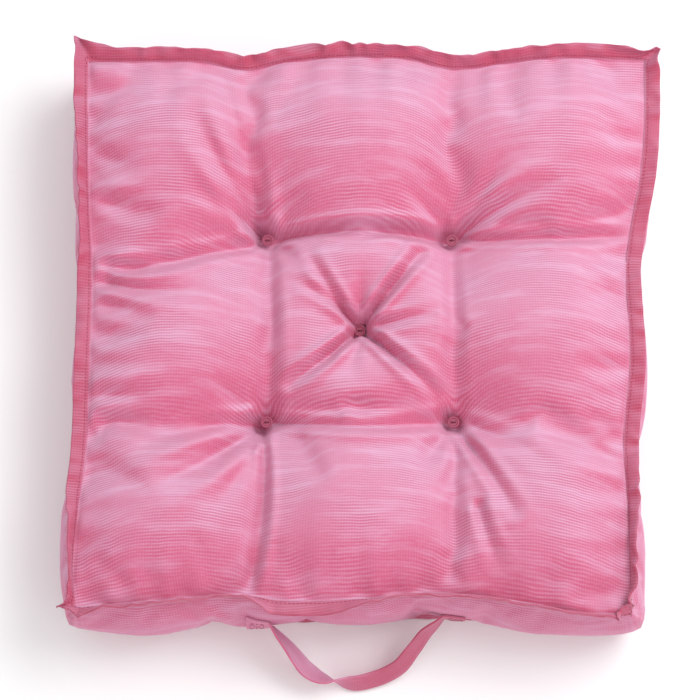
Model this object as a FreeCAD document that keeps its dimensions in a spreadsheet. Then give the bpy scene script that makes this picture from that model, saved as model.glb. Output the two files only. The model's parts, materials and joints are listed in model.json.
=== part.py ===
"""Tufted floor cushion with flanged seams and a carrying strap on its front side.

The cushion lies on the floor: +Z is up, the strap is on the -Y side, and the origin is the
middle of the underside. All sizes are millimetres. The cover is cut from six pieces of cloth
(two panels and four side bands) that meet in a flange at the top and at the bottom. Five
loops of twine, each with a button at both ends, pull the panels towards each other.
"""

import FreeCAD, Part
import math
import os

import Sketcher

SIZES = (
    ("seam_side", 476, "side of the square inside the seams"),
    ("band_height", 80, "from the bottom seam up to the top seam"),
    ("bottom_seam_height", 10, "bottom seam above the floor"),
    ("crown_rise", 18, "crown above the top seam"),
    ("side_bulge", 12, "how far a band swells out past its seams"),
    ("top_shoulder", 46, "width of the rounding from the top seam up to the crown"),
    ("bottom_shoulder", 30, "width of the rounding from the bottom seam to the floor"),
    ("cloth", 0.8, "thickness of the cover cloth"),
    ("fill_gap", 0.3, "filling to cloth"),
    ("flange_width", 12, "flange, from the seam outwards"),
    ("flange_ply", 1.6, "one side of the flange: the cloth and its turned-in edge"),
    ("tuft_spacing", 160, "between the outer tufts, both ways"),
    ("top_seat_depth", 40, "from the crown down to a top button"),
    ("bottom_seat_height", 24, "from the floor up to a bottom button"),
    ("top_funnel", 46, "radius of a tuft's hollow at the crown"),
    ("bottom_funnel", 34, "radius of a tuft's hollow at the floor"),
    ("seat_margin", 2, "cloth showing round a button"),
    ("button_radius", 5, "button"),
    ("button_thickness", 2.4, "button at its rim"),
    ("button_rim", 1.2, "width of the button's raised rim"),
    ("button_dish", 0.8, "depth inside the rim"),
    ("button_edge", 0.4, "rounding of the button's outer edges"),
    ("twine_radius", 0.6, "tufting twine"),
    ("twine_spread", 1.5, "from a tuft's axis to each leg of its twine"),
    ("twine_clearance", 0.2, "twine to the edge of its hole"),
    ("bore_clearance", 0.5, "twine to the filling"),
    ("thread", 0.4, "sewing thread"),
    ("stitch_offset", 2.5, "topstitching, from the seam outwards"),
    ("strap_width", 20, "carrying strap"),
    ("strap_thickness", 2, "carrying strap"),
    ("strap_span", 150, "between the two places where the strap leaves the band"),
    ("strap_centre", -4, "middle of the strap, to the right of the cushion's middle"),
    ("strap_end", 18, "length of each sewn end"),
    ("strap_bend", 24, "radius of the strap's two bends"),
    ("strap_left_bend", 28, "from the strap's middle to the centre of its left bend"),
    ("strap_right_bend", 24, "from the strap's middle to the centre of its right bend"),
    ("strap_left_reach", 46, "how far out the strap's left bend is"),
    ("strap_reach", 52, "how far out the strap's right bend is"),
    ("swing_clearance", 1, "strap to its sewn ends while it turns"),
    ("floor_clearance", 0.6, "strap to the floor"),
    ("end_stitch_inset", 3, "box stitch, from the edges of a sewn end"),
)

TUFTS = {
    "centre": (0, 0),
    "front_left": (-1, -1),
    "front_right": (1, -1),
    "back_left": (-1, 1),
    "back_right": (1, 1),
}

HALF = "(sizes.seam_side / 2)"
TOP_SEAM = "(sizes.bottom_seam_height + sizes.band_height)"
CROWN = f"({TOP_SEAM} + sizes.crown_rise)"
TOP_SEAT = f"({CROWN} - sizes.top_seat_depth)"
MIDDLE = "(sizes.bottom_seam_height + sizes.band_height / 2)"
OUTER_SIDE = "(sizes.seam_side + 2 * sizes.flange_width)"
SEAT_RADIUS = "(sizes.button_radius + sizes.seat_margin)"
TOP_RADIUS = "((sizes.top_shoulder^2 + sizes.crown_rise^2) / (2 * sizes.crown_rise))"
BOTTOM_RADIUS = (
    "((sizes.bottom_shoulder^2 + sizes.bottom_seam_height^2)"
    " / (2 * sizes.bottom_seam_height))"
)
BAND_RADIUS = (
    "((sizes.band_height^2 / 4 + sizes.side_bulge^2) / (2 * sizes.side_bulge))"
)
BAND_CENTRE = f"({HALF} + sizes.side_bulge - {BAND_RADIUS})"
HINGE_OUT = (
    f"({HALF} + sizes.side_bulge + sizes.strap_thickness"
    " + sizes.strap_width / 2 + sizes.swing_clearance)"
)
OVERSHOOT = 4  # how far a cutting solid passes the surface that it cuts

doc = FreeCAD.newDocument("floor_cushion")


def make_sheet():
    """The driving dimensions, one to a row: its meaning, then its value."""
    sheet = doc.addObject("Spreadsheet::Sheet", "sizes")
    for row, (alias, value, meaning) in enumerate(SIZES, start=1):
        sheet.set(f"A{row}", meaning)
        sheet.set(f"B{row}", str(value))
        sheet.setAlias(f"B{row}", alias)
    doc.recompute()
    return sheet


def value_of(expression):
    """What an expression of the sheet's cells comes to now."""
    return float(sheet.evalExpression(expression))


def bind(item, sizes):
    """Ties properties of an object to expressions of the sheet's cells."""
    for name, expression in sizes.items():
        item.setExpression(name, expression)
    return item


def place(item, x="0", y="0", z="0"):
    """Ties an object's position to expressions."""
    where = {"Placement.Base.x": x, "Placement.Base.y": y, "Placement.Base.z": z}
    return bind(item, where)


def turn(item, axis, angle):
    """Turns an object about an axis through its own origin, by a fixed angle."""
    item.Placement.Rotation = FreeCAD.Rotation(FreeCAD.Vector(*axis), angle)
    return item


def box(name, length, width, height, x="0", y="0", z="0"):
    """A box centred on x and y, standing on z."""
    item = doc.addObject("Part::Box", name)
    bind(item, {"Length": length, "Width": width, "Height": height})
    return place(item, f"{x} - {length} / 2", f"{y} - {width} / 2", z)


def cylinder(name, radius, height, x="0", y="0", z="0"):
    item = doc.addObject("Part::Cylinder", name)
    bind(item, {"Radius": radius, "Height": height})
    return place(item, x, y, z)


def cut(name, base, tool):
    item = doc.addObject("Part::Cut", name)
    item.Base, item.Tool = base, tool
    return item


def fuse(name, items):
    item = doc.addObject("Part::MultiFuse", name)
    item.Shapes = items
    return item


def common(name, items):
    item = doc.addObject("Part::MultiCommon", name)
    item.Shapes = items
    return item


def extrude(name, sketch, length):
    """A solid on both sides of a closed sketch."""
    item = doc.addObject("Part::Extrusion", name)
    item.Base = sketch
    item.DirMode = "Normal"
    item.Solid = True
    item.Symmetric = True
    return bind(item, {"LengthFwd": length})


def constrain(sketch, kind, first, second, expression):
    """A dimension of a sketch that follows an expression. A place is (geometry, point)."""
    now = value_of(expression)
    sketch.addConstraint(Sketcher.Constraint(kind, *first, *second, now))
    number = sketch.ConstraintCount - 1
    sketch.setExpression(f"Constraints[{number}]", expression)


ORIGIN = (-1, 1)
START, END, CENTRE = 1, 2, 3


def join(sketch, first, second):
    sketch.addConstraint(Sketcher.Constraint("Coincident", *first, *second))


def arc_between(centre, radius, start, end):
    """An anticlockwise arc from the direction of one point to that of another."""
    angles = [math.atan2(p[1] - centre[1], p[0] - centre[0]) for p in (start, end)]
    if angles[1] < angles[0]:
        angles[1] += 2 * math.pi
    circle = Part.Circle(
        FreeCAD.Vector(*centre, 0), FreeCAD.Vector(0, 0, 1), radius
    )
    return Part.ArcOfCircle(circle, *angles)


def meeting(first, second, near):
    """The point where two circles (centre, radius) cross, on the side that is near."""
    (c1, r1), (c2, r2) = first, second
    gap = math.dist(c1, c2)
    along = (r1**2 - r2**2 + gap**2) / (2 * gap)
    aside = math.sqrt(r1**2 - along**2)
    ux, uy = (c2[0] - c1[0]) / gap, (c2[1] - c1[1]) / gap
    foot = (c1[0] + along * ux, c1[1] + along * uy)
    found = [(foot[0] - s * aside * uy, foot[1] + s * aside * ux) for s in (1, -1)]
    return min(found, key=lambda p: math.dist(p, near))


def outline(name, inset):
    """The cushion's upright section, a closed sketch drawn in from the cover's outer face.

    Each side has three arcs: the bottom shoulder, the band and the top shoulder.
    """
    sketch = doc.addObject("Sketcher::SketchObject", name)
    arcs = {
        "bottom": (f"({HALF} - sizes.bottom_shoulder)", BOTTOM_RADIUS, BOTTOM_RADIUS),
        "band": (BAND_CENTRE, MIDDLE, BAND_RADIUS),
        "top": (f"({HALF} - sizes.top_shoulder)", f"({CROWN} - {TOP_RADIUS})", TOP_RADIUS),
    }
    now = {
        k: ((value_of(x), value_of(z)), value_of(f"{r} - {inset}"))
        for k, (x, z, r) in arcs.items()
    }
    half, drawn_in = value_of(HALF), value_of(inset)
    low_seam = meeting(now["bottom"], now["band"], (half, value_of("sizes.bottom_seam_height")))
    high_seam = meeting(now["band"], now["top"], (half, value_of(TOP_SEAM)))
    low, high = (now["bottom"][0][0], drawn_in), (now["top"][0][0], value_of(CROWN) - drawn_in)

    def mirrored(point):
        return (-point[0], point[1])

    right = [
        arc_between(*now["bottom"], low, low_seam),
        arc_between(*now["band"], low_seam, high_seam),
        arc_between(*now["top"], high_seam, high),
    ]
    left = [
        arc_between(mirrored(now["top"][0]), now["top"][1], mirrored(high), mirrored(high_seam)),
        arc_between(mirrored(now["band"][0]), now["band"][1], mirrored(high_seam), mirrored(low_seam)),
        arc_between(mirrored(now["bottom"][0]), now["bottom"][1], mirrored(low_seam), mirrored(low)),
    ]
    top_line = Part.LineSegment(FreeCAD.Vector(*high, 0), FreeCAD.Vector(*mirrored(high), 0))
    floor_line = Part.LineSegment(FreeCAD.Vector(*mirrored(low), 0), FreeCAD.Vector(*low, 0))
    sketch.addGeometry([*right, top_line, *left, floor_line])
    for k in range(8):
        join(sketch, (k, END), ((k + 1) % 8, START))
    for number, part, sign in (
        (0, "bottom", ""), (1, "band", ""), (2, "top", ""),
        (4, "top", "-"), (5, "band", "-"), (6, "bottom", "-"),
    ):
        x, z, radius = arcs[part]
        constrain(sketch, "DistanceX", ORIGIN, (number, CENTRE), f"{sign}{x}")
        constrain(sketch, "DistanceY", ORIGIN, (number, CENTRE), z)
        constrain(sketch, "Radius", (number,), (), f"{radius} - {inset}")
    for number, part in ((3, "top"), (7, "bottom")):
        signs = ("", "-") if part == "top" else ("-", "")
        for point, sign in zip((START, END), signs):
            constrain(sketch, "DistanceX", ORIGIN, (number, point), f"{sign}{arcs[part][0]}")
    return sketch


def envelope(name, inset):
    """The stuffed form without its tufts: the same section run both ways, and what they share."""
    runs = []
    for way, turns in (("across", 0), ("along", 90)):
        sketch = outline(f"{name}_{way}_outline", inset)
        upright = FreeCAD.Rotation(FreeCAD.Vector(1, 0, 0), 90)
        about_z = FreeCAD.Rotation(FreeCAD.Vector(0, 0, 1), turns)
        sketch.Placement.Rotation = about_z * upright
        runs.append(extrude(f"{name}_{way}", sketch, f"2 * {OUTER_SIDE}"))
    return common(name, runs)


def tuft_place(name):
    """The position of a tuft, as two expressions."""
    side_x, side_y = TUFTS[name]
    return f"{side_x} * sizes.tuft_spacing / 2", f"{side_y} * sizes.tuft_spacing / 2"


def funnel(name, tuft, face, inset):
    """The hollow round a tuft, wider by the inset, so that it leaves cloth of that thickness."""
    depth, mouth = {
        "top": ("sizes.top_seat_depth", "sizes.top_funnel"),
        "bottom": ("sizes.bottom_seat_height", "sizes.bottom_funnel"),
    }[face]
    slope = f"(({mouth} - {SEAT_RADIUS}) / {depth})"
    seat = f"({SEAT_RADIUS} + {inset} * (sqrt(1 + {slope}^2) - {slope}))"
    height = f"({depth} + {inset} + {OVERSHOOT})"
    cone = doc.addObject("Part::Cone", name)
    bind(cone, {"Radius1": seat, "Radius2": f"{seat} + {slope} * {height}", "Height": height})
    x, y = tuft_place(tuft)
    if face == "top":
        return place(cone, x, y, f"{TOP_SEAT} - {inset}")
    turn(cone, (1, 0, 0), 180)
    return place(cone, x, y, f"sizes.bottom_seat_height + {inset}")


def funnels(name, faces, inset):
    return fuse(name, [funnel(f"{name}_{t}_{f}", t, f, inset) for f in faces for t in TUFTS])


def twine_holes(name, faces_apart, radius):
    """Holes through everything at each leg of each twine, or one per tuft if faces_apart is False."""
    holes = []
    for tuft in TUFTS:
        x, y = tuft_place(tuft)
        for side in (-1, 1) if faces_apart else (0,):
            holes.append(
                cylinder(
                    f"{name}_{tuft}_{side + 1}", radius, f"{CROWN} + {2 * OVERSHOOT}",
                    f"{x} + {side} * sizes.twine_spread", y, f"-{OVERSHOOT}",
                )
            )
    return fuse(name, holes)


def flange_plate(name, z):
    """One side of a flange, before the cushion's inside is cut out of it."""
    return box(name, OUTER_SIDE, OUTER_SIDE, "sizes.flange_ply", z=z)


def make_panel(name, face, shell, inside, needle_holes):
    """A top or bottom panel: the face inside the seam, its tufts, and its side of the flange."""
    if face == "top":
        slab = box(f"{name}_zone", OUTER_SIDE, OUTER_SIDE, f"2 * {CROWN}", z=TOP_SEAM)
        plate = flange_plate(f"{name}_plate", TOP_SEAM)
    else:
        slab = box(
            f"{name}_zone", OUTER_SIDE, OUTER_SIDE, CROWN,
            z=f"sizes.bottom_seam_height - {CROWN}",
        )
        plate = flange_plate(f"{name}_plate", "sizes.bottom_seam_height - sizes.flange_ply")
    zone = fuse(f"{name}_whole_zone", [slab, funnels(f"{name}_tufts", (face,), "sizes.cloth")])
    skin = common(f"{name}_skin", [shell, zone])
    flange = cut(f"{name}_flange", plate, inside)
    return cut(name, fuse(f"{name}_uncut", [skin, flange]), needle_holes)


def make_bands(outside, inside):
    """Four side bands, mitred at the corners, each with its sides of both flanges."""
    wall_zone = box(
        "band_zone", f"2 * {OUTER_SIDE}", f"2 * {OUTER_SIDE}", "sizes.band_height",
        z="sizes.bottom_seam_height",
    )
    solid = fuse(
        "band_solid",
        [
            common("band_wall", [outside, wall_zone]),
            flange_plate("band_low_plate", "sizes.bottom_seam_height"),
            flange_plate("band_high_plate", f"{TOP_SEAM} - sizes.flange_ply"),
        ],
    )
    ring = cut("band_ring", solid, inside)
    for turns, side in enumerate(("front", "right", "back", "left")):
        sector = doc.addObject("Part::Wedge", f"{side}_sector")
        # A prism on a triangle whose point is the cushion's middle and whose base is past the band.
        reach = OUTER_SIDE
        bind(
            sector,
            {
                "Xmin": f"-{reach}", "Xmax": reach, "X2min": "0", "X2max": "0",
                "Ymin": "0", "Ymax": reach,
                "Zmin": "0", "Zmax": f"2 * {CROWN}", "Z2min": "0", "Z2max": f"2 * {CROWN}",
            },
        )
        quarter = FreeCAD.Rotation(FreeCAD.Vector(0, 0, 1), 90 * turns)
        sector.Placement.Rotation = quarter
        out = quarter.multVec(FreeCAD.Vector(0, -1, 0))
        place(sector, f"{round(out.x)} * {reach}", f"{round(out.y)} * {reach}", "0")
        common(f"{side}_band", [ring, sector])


def make_filling(needle_bores):
    """The stuffing, one springy block that fills the cover and gives way to the twines."""
    gap = "(sizes.cloth + sizes.fill_gap)"
    form = envelope("filling_form", gap)
    tufted = cut("filling_tufted", form, funnels("filling_funnels", ("top", "bottom"), gap))
    cut("filling_pad", tufted, needle_bores)


def make_button(name, tuft, face):
    """A turned button with a raised rim and two holes, its flat back on the cloth."""
    body = doc.addObject("PartDesign::Body", name)
    planes = {f.Role: f for f in body.Origin.OriginFeatures}
    profile = body.newObject("Sketcher::SketchObject", f"{name}_profile")
    profile.AttachmentSupport = [(planes["XZ_Plane"], "")]
    profile.MapMode = "FlatFace"
    web = "(sizes.button_thickness - sizes.button_dish)"
    points = (
        ("0", "0"),
        ("sizes.button_radius", "0"),
        ("sizes.button_radius", "sizes.button_thickness"),
        ("(sizes.button_radius - sizes.button_rim)", "sizes.button_thickness"),
        ("(sizes.button_radius - sizes.button_rim - sizes.button_dish)", web),
        ("0", web),
    )
    corners = [FreeCAD.Vector(value_of(x), value_of(z), 0) for x, z in points]
    count = len(points)
    profile.addGeometry(
        [Part.LineSegment(corners[k], corners[(k + 1) % count]) for k in range(count)]
    )
    for k, (x, z) in enumerate(points):
        join(profile, (k, END), ((k + 1) % count, START))
        constrain(profile, "DistanceX", ORIGIN, (k, START), x)
        constrain(profile, "DistanceY", ORIGIN, (k, START), z)
    turned = body.newObject("PartDesign::Revolution", f"{name}_turned")
    turned.Profile = profile
    turned.ReferenceAxis = (profile, ["V_Axis"])
    turned.Angle = 360
    doc.recompute()
    rims = [
        f"Edge{n}"
        for n, edge in enumerate(turned.Shape.Edges, start=1)
        if edge.Closed and edge.Curve.Radius > 0.99 * value_of("sizes.button_radius")
    ]
    rounded = body.newObject("PartDesign::Fillet", f"{name}_rounded")
    rounded.Base = (turned, rims)
    bind(rounded, {"Radius": "sizes.button_edge"})
    holes = body.newObject("Sketcher::SketchObject", f"{name}_holes")
    holes.AttachmentSupport = [(planes["XY_Plane"], "")]
    holes.MapMode = "FlatFace"
    for k, side in enumerate((-1, 1)):
        across = f"{side} * sizes.twine_spread"
        radius = "sizes.twine_radius + sizes.twine_clearance"
        middle = FreeCAD.Vector(value_of(across), 0, 0)
        holes.addGeometry(Part.Circle(middle, FreeCAD.Vector(0, 0, 1), value_of(radius)))
        constrain(holes, "DistanceX", ORIGIN, (k, CENTRE), across)
        constrain(holes, "DistanceY", ORIGIN, (k, CENTRE), "0 * sizes.twine_spread")
        constrain(holes, "Radius", (k,), (), radius)
    drilled = body.newObject("PartDesign::Pocket", f"{name}_drilled")
    drilled.Profile = holes
    drilled.Type = "ThroughAll"
    drilled.Midplane = True
    x, y = tuft_place(tuft)
    if face == "bottom":
        turn(body, (1, 0, 0), 180)
    place(body, x, y, TOP_SEAT if face == "top" else "sizes.bottom_seat_height")


def make_twine(name, tuft):
    """A closed loop of twine through both buttons and the filling."""
    x, y = tuft_place(tuft)
    web = "(sizes.button_thickness - sizes.button_dish)"
    low, high = f"(sizes.bottom_seat_height - {web})", f"({TOP_SEAT} + {web})"
    pieces = [
        cylinder(
            f"{name}_leg_{side + 1}", "sizes.twine_radius", f"{high} - {low}",
            f"{x} + {side} * sizes.twine_spread", y, low,
        )
        for side in (-1, 1)
    ]
    for end, z, angle in (("top", high, 90), ("bottom", low, -90)):
        bend = doc.addObject("Part::Torus", f"{name}_{end}_bend")
        bind(bend, {"Radius1": "sizes.twine_spread", "Radius2": "sizes.twine_radius"})
        bend.Angle3 = 180
        turn(bend, (1, 0, 0), angle)
        pieces.append(place(bend, x, y, z))
    fuse(name, pieces)


def make_edge_stitching(name, seam):
    """The topstitching of one flange: the needle thread above it and the bobbin thread below."""
    side = f"({OUTER_SIDE} - 2 * sizes.flange_width + 2 * sizes.stitch_offset)"
    rings = []
    for row, z in (
        ("needle", f"{seam} + sizes.flange_ply"),
        ("bobbin", f"{seam} - sizes.flange_ply - sizes.thread"),
    ):
        outer = f"({side} + sizes.thread)"
        inner = f"({side} - sizes.thread)"
        solid = box(f"{name}_{row}_outer", outer, outer, "sizes.thread", z=z)
        hollow = box(f"{name}_{row}_inner", inner, inner, "sizes.thread", z=z)
        rings.append(cut(f"{name}_{row}", solid, hollow))
    group = doc.addObject("Part::Compound", name)
    group.Links = rings


def curved_plate(body, name, low, high, inner, outer, length):
    """A plate bent round the band's swell, from height low to high and radius inner to outer."""
    planes = {f.Role: f for f in body.Origin.OriginFeatures}
    sketch = body.newObject("Sketcher::SketchObject", f"{name}_section")
    sketch.AttachmentSupport = [(planes["YZ_Plane"], "")]
    sketch.MapMode = "FlatFace"
    centre = (-value_of(BAND_CENTRE), value_of(MIDDLE))
    radii = (value_of(inner), value_of(outer))
    heights = (value_of(high), value_of(low))

    def on(radius, height):
        rise = height - centre[1]
        return (centre[0] - math.sqrt(radius**2 - rise**2), height)

    inside = [on(radii[0], h) for h in heights]
    outside = [on(radii[1], h) for h in heights]
    sketch.addGeometry(
        [
            arc_between(centre, radii[0], *inside),
            Part.LineSegment(FreeCAD.Vector(*inside[1], 0), FreeCAD.Vector(*outside[1], 0)),
            arc_between(centre, radii[1], *outside),
            Part.LineSegment(FreeCAD.Vector(*outside[0], 0), FreeCAD.Vector(*inside[0], 0)),
        ]
    )
    join(sketch, (0, END), (1, START))
    join(sketch, (1, END), (2, END))
    join(sketch, (2, START), (3, START))
    join(sketch, (3, END), (0, START))
    for number, radius in ((0, inner), (2, outer)):
        constrain(sketch, "DistanceX", ORIGIN, (number, CENTRE), f"-{BAND_CENTRE}")
        constrain(sketch, "DistanceY", ORIGIN, (number, CENTRE), MIDDLE)
        constrain(sketch, "Radius", (number,), (), radius)
        constrain(sketch, "DistanceY", ORIGIN, (number, START), high)
        constrain(sketch, "DistanceY", ORIGIN, (number, END), low)
    plate = body.newObject("PartDesign::Pad", f"{name}_plate")
    plate.Profile = sketch
    plate.Midplane = True
    bind(plate, {"Length": length})
    return plate


def end_place(body, side):
    """Puts a strap end's body at its own side of the strap."""
    middle = "(sizes.strap_span / 2 + sizes.strap_end / 2)"
    place(body, f"sizes.strap_centre + {side} * {middle}")


def make_strap_end(name, side):
    """A sewn end of the strap, flat on the band."""
    body = doc.addObject("PartDesign::Body", name)
    half = "sizes.strap_width / 2"
    curved_plate(
        body, name, f"({MIDDLE} - {half})", f"({MIDDLE} + {half})",
        BAND_RADIUS, f"({BAND_RADIUS} + sizes.strap_thickness)", "sizes.strap_end",
    )
    end_place(body, side)


def make_end_stitching(name, side):
    """The box stitch on a sewn end of the strap."""
    body = doc.addObject("PartDesign::Body", name)
    surface = f"({BAND_RADIUS} + sizes.strap_thickness)"
    half = "(sizes.strap_width / 2 - sizes.end_stitch_inset)"
    length = "(sizes.strap_end - 2 * sizes.end_stitch_inset)"
    curved_plate(
        body, name, f"({MIDDLE} - {half})", f"({MIDDLE} + {half})",
        surface, f"({surface} + sizes.thread)", length,
    )
    planes = {f.Role: f for f in body.Origin.OriginFeatures}
    sketch = body.newObject("Sketcher::SketchObject", f"{name}_middle")
    sketch.AttachmentSupport = [(planes["XZ_Plane"], "")]
    sketch.MapMode = "FlatFace"
    across, up = f"({length} / 2 - sizes.thread)", f"({half} - sizes.thread)"
    corners = ((-1, -1), (1, -1), (1, 1), (-1, 1))
    points = [
        FreeCAD.Vector(sx * value_of(across), value_of(MIDDLE) + sz * value_of(up), 0)
        for sx, sz in corners
    ]
    sketch.addGeometry([Part.LineSegment(points[k], points[(k + 1) % 4]) for k in range(4)])
    for k, (sx, sz) in enumerate(corners):
        join(sketch, (k, END), ((k + 1) % 4, START))
        constrain(sketch, "DistanceX", ORIGIN, (k, START), f"{sx} * {across}")
        constrain(sketch, "DistanceY", ORIGIN, (k, START), f"{MIDDLE} + {sz} * {up}")
    opening = body.newObject("PartDesign::Pocket", f"{name}_opening")
    opening.Profile = sketch
    opening.Type = "ThroughAll"
    opening.Midplane = True
    end_place(body, side)


def touching(root, centre, radius, side):
    """Where the line from a root touches a circle, passing it on the left (1) or right (-1)."""
    gap = math.dist(root, centre)
    heading = math.atan2(centre[1] - root[1], centre[0] - root[0])
    heading += side * math.asin(radius / gap)
    length = math.sqrt(gap**2 - radius**2)
    return (root[0] + length * math.cos(heading), root[1] + length * math.sin(heading))


def make_strap(name):
    """The free part of the strap, a ribbon on edge: two legs, two bends and the run between.

    It reaches from the hinge line, at the middle of the band's height, down to the floor.
    """
    sketch = doc.addObject("Sketcher::SketchObject", f"{name}_path")
    bends = (
        ("-sizes.strap_left_bend", "-(sizes.strap_left_reach - sizes.strap_bend)"),
        ("sizes.strap_right_bend", "-(sizes.strap_reach - sizes.strap_bend)"),
    )
    roots = ("-sizes.strap_span / 2", "sizes.strap_span / 2")
    radius = value_of("sizes.strap_bend")
    (left, right) = [(value_of(x), value_of(y)) for x, y in bends]
    (start, end) = [(value_of(x), 0) for x in roots]
    leaves = touching(start, left, radius, -1)
    arrives = touching(end, right, radius, 1)
    gap = math.dist(left, right)
    out = (radius * (right[1] - left[1]) / gap, -radius * (right[0] - left[0]) / gap)
    run = [(c[0] + out[0], c[1] + out[1]) for c in (left, right)]

    def line(first, last):
        return Part.LineSegment(FreeCAD.Vector(*first, 0), FreeCAD.Vector(*last, 0))

    sketch.addGeometry(
        [
            line(start, leaves),
            arc_between(left, radius, leaves, run[0]),
            line(*run),
            arc_between(right, radius, run[1], arrives),
            line(arrives, end),
        ]
    )
    for k in range(4):
        sketch.addConstraint(Sketcher.Constraint("Tangent", k, END, k + 1, START))
    for number, (x, y) in zip((1, 3), bends):
        constrain(sketch, "Radius", (number,), (), "sizes.strap_bend")
        constrain(sketch, "DistanceX", ORIGIN, (number, CENTRE), x)
        constrain(sketch, "DistanceY", ORIGIN, (number, CENTRE), y)
    for geometry, point, x in ((0, START, roots[0]), (4, END, roots[1])):
        constrain(sketch, "DistanceX", ORIGIN, (geometry, point), x)
        constrain(sketch, "DistanceY", ORIGIN, (geometry, point), "0 * sizes.strap_span")
    ribbon = doc.addObject("Part::Offset2D", f"{name}_section")
    ribbon.Source = sketch
    ribbon.Mode = "Skin"
    ribbon.Fill = True
    ribbon.Join = "Arc"
    bind(ribbon, {"Value": "sizes.strap_thickness"})
    strap = extrude(name, ribbon, "sizes.strap_width")
    far = "(sizes.strap_reach + sizes.strap_thickness)"
    corner = f"sqrt({far}^2 + sizes.strap_width^2 / 4)"
    # A strap too short to reach the floor hangs straight down.
    drop = f"min(1; ({MIDDLE} - sizes.floor_clearance) / {corner})"
    tilt = f"asin({drop}) - atan(sizes.strap_width / (2 * {far}))"
    turn(strap, (1, 0, 0), 1)
    bind(strap, {"Placement.Rotation.Angle": tilt})
    place(strap, "sizes.strap_centre", f"-{HINGE_OUT}", MIDDLE)


def make_cushion():
    """Every sub-part, and the names of their objects, which are also their files' names."""
    outside = envelope("outside", "0 * sizes.cloth")
    inside = envelope("inside", "sizes.cloth")
    faces = ("top", "bottom")
    tufted_out = cut("tufted_outside", outside, funnels("hollows", faces, "0 * sizes.cloth"))
    tufted_in = cut("tufted_inside", inside, funnels("inner_hollows", faces, "sizes.cloth"))
    shell = cut("shell", tufted_out, tufted_in)
    needle_holes = twine_holes(
        "needle_holes", True, "sizes.twine_radius + sizes.twine_clearance"
    )
    needle_bores = twine_holes(
        "needle_bores", False,
        "sizes.twine_spread + sizes.twine_radius + sizes.bore_clearance",
    )
    make_filling(needle_bores)
    names = ["filling_pad"]
    for face in faces:
        make_panel(f"{face}_panel", face, shell, inside, needle_holes)
        names.append(f"{face}_panel")
    make_bands(outside, inside)
    names += [f"{side}_band" for side in ("front", "right", "back", "left")]
    for tuft in TUFTS:
        for face in faces:
            make_button(f"{face}_button_{tuft}", tuft, face)
            names.append(f"{face}_button_{tuft}")
        make_twine(f"tuft_twine_{tuft}", tuft)
        names.append(f"tuft_twine_{tuft}")
    make_edge_stitching("top_edge_stitching", TOP_SEAM)
    make_edge_stitching("bottom_edge_stitching", "sizes.bottom_seam_height")
    names += ["top_edge_stitching", "bottom_edge_stitching"]
    for side, sign in (("left", -1), ("right", 1)):
        make_strap_end(f"strap_end_{side}", sign)
        make_end_stitching(f"strap_stitching_{side}", sign)
        names += [f"strap_end_{side}", f"strap_stitching_{side}"]
    make_strap("carrying_strap")
    return names + ["carrying_strap"]


def check(names):
    """Stops the build if any object failed, or if a sub-part isn't a sound solid."""
    for item in doc.Objects:
        bad = {"Invalid", "Error"} & set(item.State)
        if bad:
            raise RuntimeError(f"{item.Name} is {sorted(bad)}")
    for name in names:
        shape = doc.getObject(name).Shape
        if shape.isNull() or not shape.isValid() or not shape.Solids:
            raise RuntimeError(f"{name} has no sound solid")


def export(names):
    os.makedirs("parts", exist_ok=True)
    for name in names:
        item = doc.getObject(name)
        item.Shape.exportStep(os.path.join("parts", f"{item.Label}.step"))


sheet = make_sheet()
sub_parts = make_cushion()
doc.recompute()
check(sub_parts)
export(sub_parts)
for sub_part in sub_parts:
    form = doc.getObject(sub_part).Shape
    limits = form.BoundBox
    print(
        f"{sub_part}: {len(form.Solids)} solid, {form.Volume:.1f} mm3,"
        f" z {limits.ZMin:.2f} to {limits.ZMax:.2f}"
    )
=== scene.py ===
"""Looks of the tufted floor cushion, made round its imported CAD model.

The cover is six pieces of cloth. Each is a cut that a cloth simulation blows up between its
seams and tufts. Everything is in metres, in the CAD frame: +Z up, the strap on the -Y side.
"""
import json
import math

import bmesh
import bpy
import numpy as np
from mathutils import Matrix, Vector, noise
from mathutils.bvhtree import BVHTree


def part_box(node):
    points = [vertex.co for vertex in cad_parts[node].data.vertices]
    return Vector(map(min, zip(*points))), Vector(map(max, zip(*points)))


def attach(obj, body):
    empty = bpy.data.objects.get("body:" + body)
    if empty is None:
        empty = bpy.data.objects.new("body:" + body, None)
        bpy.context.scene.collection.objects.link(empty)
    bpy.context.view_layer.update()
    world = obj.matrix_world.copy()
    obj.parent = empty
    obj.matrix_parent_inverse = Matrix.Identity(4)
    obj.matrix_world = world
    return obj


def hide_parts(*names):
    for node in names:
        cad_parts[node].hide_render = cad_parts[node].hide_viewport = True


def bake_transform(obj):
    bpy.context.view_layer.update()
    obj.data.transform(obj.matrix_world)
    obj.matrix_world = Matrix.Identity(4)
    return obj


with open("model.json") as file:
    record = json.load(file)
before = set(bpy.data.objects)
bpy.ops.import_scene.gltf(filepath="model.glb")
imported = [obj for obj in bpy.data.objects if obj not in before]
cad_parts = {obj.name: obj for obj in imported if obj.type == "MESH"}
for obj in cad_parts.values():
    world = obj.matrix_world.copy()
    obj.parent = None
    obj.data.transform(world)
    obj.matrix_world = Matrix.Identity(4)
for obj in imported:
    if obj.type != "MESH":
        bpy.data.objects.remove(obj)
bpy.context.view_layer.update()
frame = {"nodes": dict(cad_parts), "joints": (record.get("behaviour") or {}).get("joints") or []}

bl_info = {
    "name": "Tufted floor cushion",
    "version": (1, 0, 0),
    "blender": (4, 5, 0),
    "location": "View3D > Sidebar > Cushion",
    "description": "Builds the cover, filling, tufts, stitching and strap of a floor cushion",
    "category": "Object",
}

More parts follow.
